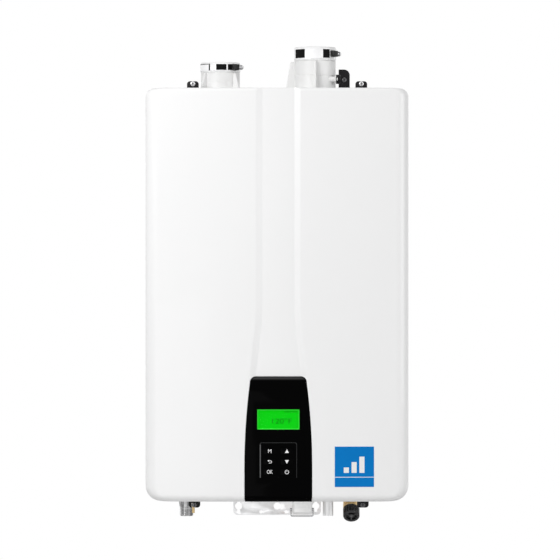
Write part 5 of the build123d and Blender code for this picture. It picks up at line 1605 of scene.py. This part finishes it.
@dataclass
class VentCollar:
    """Flanged collar on the case top with its sleeve and band, in metres."""

    name: str
    x: float
    outer: float
    barrel: float
    height: float
    webs: tuple[float, ...]
    web_foot: float
    web_top: float
    drive_turn: float
    slots: tuple[tuple[float, float, int], ...]
    strap: Pair | None = None
    plan: CasePlan = PLAN
    flange: float = 0.080
    flange_thick: float = 0.004
    bore: float = 0.03045
    spigot: float = -0.014
    margin: float = 0.0024
    band: float = 0.0012
    seam_share: float = 0.55
    sides: int = 96

    def _place(self, height: float = 0.0, turn: float = 0.0) -> Matrix:
        """Place on the collar's axis.

        Args:
            height: Height above the case top.
            turn: Turn about the axis in degrees.

        Returns:
            The placing matrix.
        """
        move = Matrix.Translation((self.x, self.plan.vent_y, self.plan.top + height))
        return move @ Matrix.Rotation(math.radians(turn), 4, "Z")

    def build(self, workshop: Workshop) -> None:
        """Make the collar and its band.

        Args:
            workshop: The materials.
        """
        bm = Mesh.lathe(self._barrel(), self.sides)
        Mesh.move(bm, self._place())
        flange = Mesh.rounded_outline(self.flange, self.flange, 0.009)
        Mesh.add(bm, Mesh.plate(flange, self.flange_thick, 0.0009, 3), self._place())
        for turn in self.webs:
            Mesh.add(bm, self._web(), self._place(0.0, turn))
        workshop.make(f"{self.name}_collar_body", bm, "pale_plastic", Slot.WHITE, f"{self.name}_collar")
        self._band(workshop)

    def _barrel(self) -> list[Pair]:
        """Profile of the barrel with a moulded seam, a foot fillet and a spigot below the flange.

        Returns:
            Points of radius and height.
        """
        outer, bore, foot, top = self.outer, self.bore, self.flange_thick, self.height
        neck, seam, barrel = (outer + bore) / 2, self.barrel * self.seam_share, self.barrel
        return [(bore, self.spigot), (neck - 0.001, self.spigot), (neck - 0.001, 0.001),
                (outer + 0.0028, 0.001), (outer + 0.0028, foot), (outer + 0.0011, foot + 0.0009),
                (outer + 0.0003, foot + 0.0026), (outer, foot + 0.005), (outer, seam - 0.0006),
                (outer - 0.0004, seam - 0.0003), (outer - 0.0004, seam + 0.0003), (outer, seam + 0.0006),
                (outer, barrel - 0.0008), (outer - 0.0008, barrel), (neck, barrel), (neck, top - 0.001),
                (neck - 0.0004, top), (bore, top), (bore, self.spigot)]

    def _web(self) -> Shape:
        """Web that leans from the flange to the barrel's top, on +X.

        Returns:
            The web.
        """
        start, top, foot, thick = self.outer - 0.001, self.barrel - 0.001, self.flange_thick, 0.003
        outline = [(start, foot), (self.web_foot, foot), (self.web_top, top * 0.985),
                   (self.web_top - 0.0012, top), (start, top)]
        bm = Mesh.plate(outline, thick, 0.0005, 2)
        Mesh.move(bm, facing_front(0, thick / 2, 0))
        return bm

    def sleeve(self) -> Shape:
        """Pale rubber sleeve round the collar's top.

        Returns:
            The sleeve.
        """
        neck, outer, low, high = (self.bore + self.outer) / 2, self.outer, self.barrel + 0.0002, self.height
        bm = Mesh.lathe([(neck, low), (outer, low), (outer, high - 0.0012), (outer - 0.0005, high - 0.0003),
                         (outer - 0.0012, high), (neck, high), (neck, low)], self.sides)
        Mesh.move(bm, self._place())
        return bm

    def _strap_end(self, workshop: Workshop, strap: Pair, low: float, high: float) -> None:
        """Outer end of the band where it laps over itself, with the shade line round it.

        Args:
            workshop: The materials.
            strap: Its first and last angle in degrees, from the front.
            low: Height of the band's lower edge.
            high: Height of its upper edge.
        """
        foot = low + 0.0003
        for name, finish, grow, sunk in (("shade", "painted_shade_black", 0.0016, 0.0001),
                                         ("end", "band_white_painted_reflection", 0.0, 0.0)):
            inner, outer, head = self.outer, self.outer + self.band - sunk, high - 0.0017 + grow
            section = [(inner, foot), (outer, foot), (outer, head), (inner, head), (inner, foot)]
            ring = Mesh.lathe(section, 120)
            spread = math.degrees(1.5 * grow / outer)
            for turn, side in ((strap[0] - 90.0, -1), (strap[1] - 90.0 + spread, 1)):
                angle = math.radians(turn)
                cut = bmesh.ops.bisect_plane(ring, geom=ring.verts[:] + ring.edges[:] + ring.faces[:],
                                             dist=WELD, plane_co=(0, 0, 0), clear_outer=True,
                                             plane_no=(-side * math.sin(angle), side * math.cos(angle), 0))
                rim = [item for item in cut["geom_cut"] if isinstance(item, bmesh.types.BMEdge)]
                bmesh.ops.edgenet_fill(ring, edges=rim)
            workshop.make(f"{self.name}_strap_{name}", ring, finish, Slot.BAND, place=self._place())

    def _band(self, workshop: Workshop) -> None:
        """Steel band with rolled edges, its slots as painted shade marks and its worm drive.

        Args:
            workshop: The materials.
        """
        low, high = self.barrel + self.margin, self.height - self.margin
        inner, outer = self.outer, self.outer + self.band
        profile = [(inner, low), (outer - 0.0004, low), (outer, low + 0.0005), (outer - 0.0003, low + 0.0012),
                   (outer - 0.0003, high - 0.0012), (outer, high - 0.0005), (outer - 0.0004, high),
                   (inner, high), (inner, low)]
        # The band's whiteness is painted reflection of the surroundings.
        workshop.make(f"{self.name}_band_ring", Mesh.lathe(profile, self.sides), "band_white_painted_reflection", Slot.BAND,
                      f"{self.name}_band", place=self._place())
        if self.strap is not None:
            self._strap_end(workshop, self.strap, low, high)
        middle, tall, wide = (low + high) / 2, (high - low) * 0.4, 0.0015
        # The slots are dark boxes on the band's surface, painted as shade.
        slots = bmesh.new()
        for first, last, count in self.slots:
            for step in range(count):
                slot = Mesh.box((outer - 0.0006, -wide, -tall), (outer - 0.0001, wide, tall), 0.0001, 1)
                turn = first + (last - first) * step / (count - 1) - 90.0
                Mesh.add(slots, slot, self._place(middle, turn))
        workshop.make(f"{self.name}_band_slot_shade", slots, "painted_shade_black", Slot.BAND)
        drive = WormDrive()
        outwards = Matrix.Translation((outer + drive.radius, 0, 0))
        drive.build(workshop, f"{self.name}_worm", self._place(middle, self.drive_turn) @ outwards)


def build_vents(workshop: Workshop) -> None:
    """Make both collars and their sleeves.

    Args:
        workshop: The materials.
    """
    made = [
        VentCollar("intake", PLAN.intake_x, outer=0.0333, barrel=0.0357, height=0.053,
                   webs=(45.0, 135.0, 225.0, 315.0), web_foot=0.0477, web_top=0.038, drive_turn=-46.0,
                   slots=((-9.0, 16.0, 7), (25.5, 33.5, 3)), strap=(-88.0, -34.5)),
        VentCollar("exhaust", PLAN.exhaust_x, outer=0.0354, barrel=0.056, height=0.0795,
                   webs=(90.0, 180.0, 270.0), web_foot=0.0505, web_top=0.043, drive_turn=-35.0,
                   slots=((-66.0, -32.0, 9), (24.0, 40.0, 5))),
    ]
    sleeves = bmesh.new()
    for collar in made:
        collar.build(workshop)
        Mesh.add(sleeves, collar.sleeve())
    workshop.make("vent_sleeves", sleeves, "pale_rubber", Slot.RUBBER, "collar_seals")


@dataclass
class TopFittings:
    """Test port, its cap, the angle bracket and the screws on the case top, in metres."""

    plan: CasePlan = PLAN
    port_y: float = -0.152
    port_z: float = 0.0838
    seat_x: float = 0.1012
    spigot: float = 0.0160
    cap_radius: float = 0.0081
    cap_length: float = 0.0081
    screw_reach: Pair = (0.036, 0.020)
    screw_foot: float = 0.004
    bracket_screw: Point = (0.1158, -0.120, 0.0845)

    def build(self, workshop: Workshop) -> None:
        """Make the port, the cap, the bracket and the screws.

        Args:
            workshop: The materials.
        """
        tip, radius, length = self.spigot, self.cap_radius, self.cap_length
        spigot = Mesh.lathe([(0.0030, 0.0), (0.0047, 0.0), (0.0047, tip - 0.0025), (0.0056, tip - 0.0018),
                             (0.0056, tip), (0.0030, tip), (0.0030, 0.0)], 32)
        workshop.make("test_port_spigot", spigot, "pale_plastic", Slot.WHITE,
                      place=along((self.seat_x - tip, self.port_y, self.port_z), (1, 0, 0)))
        profile = [(0.0, -0.006), (0.0027, -0.006), (0.0028, 0.0), (radius - 0.0005, 0.0), (radius, 0.0005),
                   (radius, length * 0.62), (radius * 0.94, length * 0.84), (radius * 0.78, length),
                   (0.0, length)]
        seat = along((self.seat_x, self.port_y, self.port_z), (1, 0, 0))
        workshop.make("test_port_cap", Mesh.lathe(profile, 48, self._grip), "black_moulding", Slot.BLACK,
                      "port_cap", body="port_cap", place=seat)
        # A pale strip on the cap's front is a painted highlight.
        front = self.port_y - radius
        mark = Mesh.box((self.seat_x + 0.0012, front - HAIR, self.port_z - 0.0024),
                        (self.seat_x + 0.0026, front + 0.0006, self.port_z + 0.0024), 0.0002, 1)
        workshop.make("test_port_cap_highlight", mark, "legend_and_highlight_white", Slot.BLACK, body="port_cap")
        workshop.refine("vent_bracket", "black_moulding", Slot.BLACK, 0.0004, "vent_angle_bracket")
        heads, recess_shade = bmesh.new(), bmesh.new()
        reach_x, reach_y = self.screw_reach
        z = self.plan.top + self.screw_foot
        for axis in (self.plan.intake_x, self.plan.exhaust_x):
            for x in (axis - reach_x, axis + reach_x):
                for y in (self.plan.vent_y - reach_y, self.plan.vent_y + reach_y):
                    Mesh.add(heads, screw_head(0.0042, 0.0024), Matrix.Translation((x, y, z)))
                    Mesh.add(recess_shade, screw_cross(0.0025, 0.0010), Matrix.Translation((x, y, z + 0.00242)))
        x, y, z = self.bracket_screw
        workshop.make("screw_of_vent_bracket", screw_head(0.0042, 0.0022), "screw_dark_and_shaded", Slot.BAND,
                      place=facing_front(x, y, z))
        Mesh.add(recess_shade, screw_cross(0.0024, 0.0010), facing_front(x, y - 0.00222, z))
        workshop.make("screws_of_top", heads, "screw_zinc", Slot.BAND, "top_screws")
        # The flat crosses are painted shade for the screws' recesses.
        workshop.make("screw_recess_shade_of_top", recess_shade, "painted_shade_black", Slot.BLACK)

    def _grip(self, angle: float, height: float) -> float:
        """Shallow flutes round the cap.

        Args:
            angle: Angle round the axis.
            height: Height along it.

        Returns:
            The factor on the radius.
        """
        if 0.0004 < height < self.cap_length * 0.8:
            return 1.0 - 0.018 * (0.5 + 0.5 * math.cos(16 * angle))
        return 1.0


@dataclass
class GasEnd:
    """Pipe end of the gas inlet that tapers to a thread, pointing down, in metres."""

    top: Point = (-0.1573, PLAN.water_y, PLAN.floor)
    length: float = 0.0395
    radius: float = 0.0120
    pitch: float = 0.0018
    depth: float = 0.0007
    bore: float = 0.0090
    shoulder: float = 0.0146
    cone: float = 0.0242
    inside: float = 0.030

    def build(self, workshop: Workshop) -> None:
        """Make the end.

        Args:
            workshop: The materials.
        """
        radius, length, root, cone = self.radius, self.length, self.radius - self.depth, self.cone
        profile = [(self.bore, -self.inside), (radius, -self.inside), (radius, -0.0005),
                   (self.shoulder - 0.0006, 0.0), (self.shoulder, 0.0006), (self.shoulder, 0.006),
                   (radius + 0.0004, cone - 0.0015), (radius - 0.0006, cone), (radius, cone + 0.0009)]
        height = cone + 0.003
        while height < length - 0.003:
            profile += [(root, height), (radius, height + self.pitch / 2)]
            height += self.pitch
        profile += [(root, length - 0.0015), (root - 0.0008, length), (self.bore, length),
                    (self.bore, -self.inside)]
        # The plated finish paints dark streaks on the end as reflections.
        workshop.make("gas_inlet_end", Mesh.lathe([(size, -drop) for size, drop in profile], 48), "plated",
                      Slot.PLATED, "gas_inlet", place=Matrix.Translation(self.top))


@dataclass
class FilterEnd:
    """Fluted cap of the inlet filter on its slanting branch, in metres."""

    start: Point = (0.128, -0.094, -0.631)
    direction: Point = (0.0, -0.731353702, -0.68199836)
    radius: float = 0.0142
    low: float = 0.037
    high: float = 0.0548
    flutes: int = 18
    flute_depth: float = 0.085

    def _flute(self, angle: float, height: float) -> float:
        """Grip flutes round the cap.

        Args:
            angle: Angle round the axis.
            height: Height along it.

        Returns:
            The factor on the radius.
        """
        if self.low + 0.0022 < height < self.high - 0.0012:
            return 1.0 - self.flute_depth * max(0.0, math.cos(self.flutes * angle)) ** 3
        return 1.0

    def build(self, workshop: Workshop) -> None:
        """Make the cap.

        Args:
            workshop: The materials.
        """
        radius, low, high = self.radius, self.low, self.high
        profile = [(0.0108, low), (radius - 0.0006, low), (radius, low + 0.0006), (radius, low + 0.0020),
                   (radius - 0.0004, low + 0.0024)]
        profile += [(radius, low + 0.0030 + (high - low - 0.0050) * step / 6) for step in range(7)]
        profile += [(radius - 0.0004, high - 0.0010), (radius - 0.0014, high - 0.0002),
                    (radius - 0.0022, high), (0.0098, high), (0.0092, high - 0.0004),
                    (0.0088, high - 0.0030), (0.0052, high - 0.0034), (0.0044, high - 0.0012),
                    (0.0, high - 0.0010)]
        bm = Mesh.lathe(profile, 144, self._flute)
        for turn in (30, 150, 270):
            rib = Mesh.box((0.0040, -0.0009, high - 0.0036), (0.0095, 0.0009, high - 0.0009), 0.0003, 2)
            Mesh.add(bm, rib, Matrix.Rotation(math.radians(turn), 4, "Z"))
        workshop.make("filter_cap_fluted", bm, "cap_black", Slot.BLACK, "filter_cap", body="filter_cap",
                      place=along(self.start, self.direction), smooth=40.0)


@dataclass
class TrapFittings:
    """Condensate trap with its moulding lines and wire bail, in metres."""

    left: float = 0.0257
    right: float = 0.0597
    front: float = -0.172
    pivot_y: float = -0.165
    pivot_z: float = -0.654
    line_heights: Point = (-0.6395, -0.6445, -0.6505)
    line_inset: float = 0.004
    line_width: float = 0.0007

    def build(self, workshop: Workshop) -> None:
        """Make the trap's dressing and its bail.

        Args:
            workshop: The materials.
        """
        # The trap's finish is painted lighter to make up for the case's shade.
        workshop.refine("trap_body", "trap_white_painted_light", Slot.WHITE, 0.0006, "trap_housing")
        lines, pivots = bmesh.new(), bmesh.new()
        for z in self.line_heights:
            low = (self.left + self.line_inset, self.front - 0.0003, z)
            high = (self.right - self.line_inset, self.front + 0.0004, z + self.line_width)
            Mesh.add(lines, Mesh.box(low, high, 0.0002, 1))
        workshop.make("trap_mould_lines", lines, "pale_grey", Slot.WHITE)
        workshop.refine("trap_bail", "band_steel", Slot.BAND, 0.0, "trap_wire_bail", "trap_bail")
        profile = [(0.0, 0.0), (0.0024, 0.0), (0.0024, 0.0008), (0.0018, 0.0012), (0.0, 0.0012)]
        for x, way in ((self.left, -1), (self.right, 1)):
            boss = Mesh.lathe(profile, 24)
            Mesh.add(pivots, boss, along((x, self.pivot_y, self.pivot_z), (way, 0, 0)))
        workshop.make("trap_pivots", pivots, "black_steel", Slot.WHITE)


REFINED: tuple[tuple[str, str, Slot, float, str], ...] = (
    ("cold_inlet", "brass", Slot.BRASS, 0.0005, "cold_inlet_body"),
    ("hot_pipe", "copper", Slot.COPPER, 0.0004, "hot_pipes"),
    ("condensate_outlet", "pale_grey", Slot.GREY, 0.0, "condensate_pipe"),
    # The lower bracket's finish is painted lighter to make up for the case's shade.
    ("lower_wall_bracket", "bracket_zinc_painted_light", Slot.GALVANISED, 0.0003, "lower_bracket"),
    ("upper_wall_bracket", "galvanised_sheet", Slot.GALVANISED, 0.0003, "upper_bracket"),
    ("ground_stud", "brass", Slot.BRASS, 0.0002, "earthing_stud"),
    ("cable_gland", "black_moulding", Slot.BLACK, 0.0003, "mains_gland"),
    ("case_lugs", "galvanised_sheet", Slot.GALVANISED, 0.0003, "lugs_of_case"),
)

NODE_FINISHES: dict[str, tuple[str, ...]] = {
    "paint": ("rear_case", "front_cover"),
    "galvanised_sheet": ("upper_wall_bracket", "lower_wall_bracket", "control_tray",
                         "exchanger_hangers", "case_lugs", "flue_duct"),
    "rubber": ("case_gasket", "collar_seals", "trap_hose"),
    "cast_aluminium": ("fan_housing", "gas_valve", "fan_wheel"),
    "screw_zinc": ("top_screws", "cover_screws", "gas_inlet", "trap_bail", "strainer"),
    "band_steel": ("intake_band", "exhaust_band", "secondary_exchanger", "fan_motor",
                   "burner_hood", "flue_flap"),
    "black_moulding": ("port_cap", "cable_gland", "filter_cap", "cover_lugs", "vent_bracket", "flow_sensor",
                       "flow_turbine", "igniter", "mixing_valve", "mixing_spindle"),
    "grey_moulding": ("intake_duct",),
    "pale_grey": ("condensate_outlet",),
    "pale_plastic": ("intake_collar", "exhaust_collar", "trap_body", "condensate_sump", "board_box"),
    "copper": ("primary_exchanger", "gas_pipe", "cold_pipe", "hot_pipe"),
    "brass": ("cold_inlet", "ground_stud"),
    "gloss_black": ("control_fascia",),
    "clear_pane": ("display_window",),
    "lit_green": ("display_module",),
    "board_green": ("keypad_board", "main_board"),
    "label_blue": ("cover_label",),
    "key_black": ("key_1_1", "key_1_2", "key_2_1", "key_2_2", "key_3_1", "key_3_2"),
}


def main() -> None:
    """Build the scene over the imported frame."""
    logging.basicConfig(level=logging.INFO, format="%(name)s: %(message)s")
    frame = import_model()
    workshop = Workshop(frame)
    for finish, nodes in NODE_FINISHES.items():
        for node in nodes:
            workshop.dress(node, finish)
    for maker in (CoverShell(), ControlPanel(), CoverDress()):
        maker.build(workshop)
    build_vents(workshop)
    for maker in (TopFittings(), GasEnd(), FilterEnd(), TrapFittings()):
        maker.build(workshop)
    for row in REFINED:
        workshop.refine(*row)
    Studio().build()


if __name__ == "__main__":
    main()
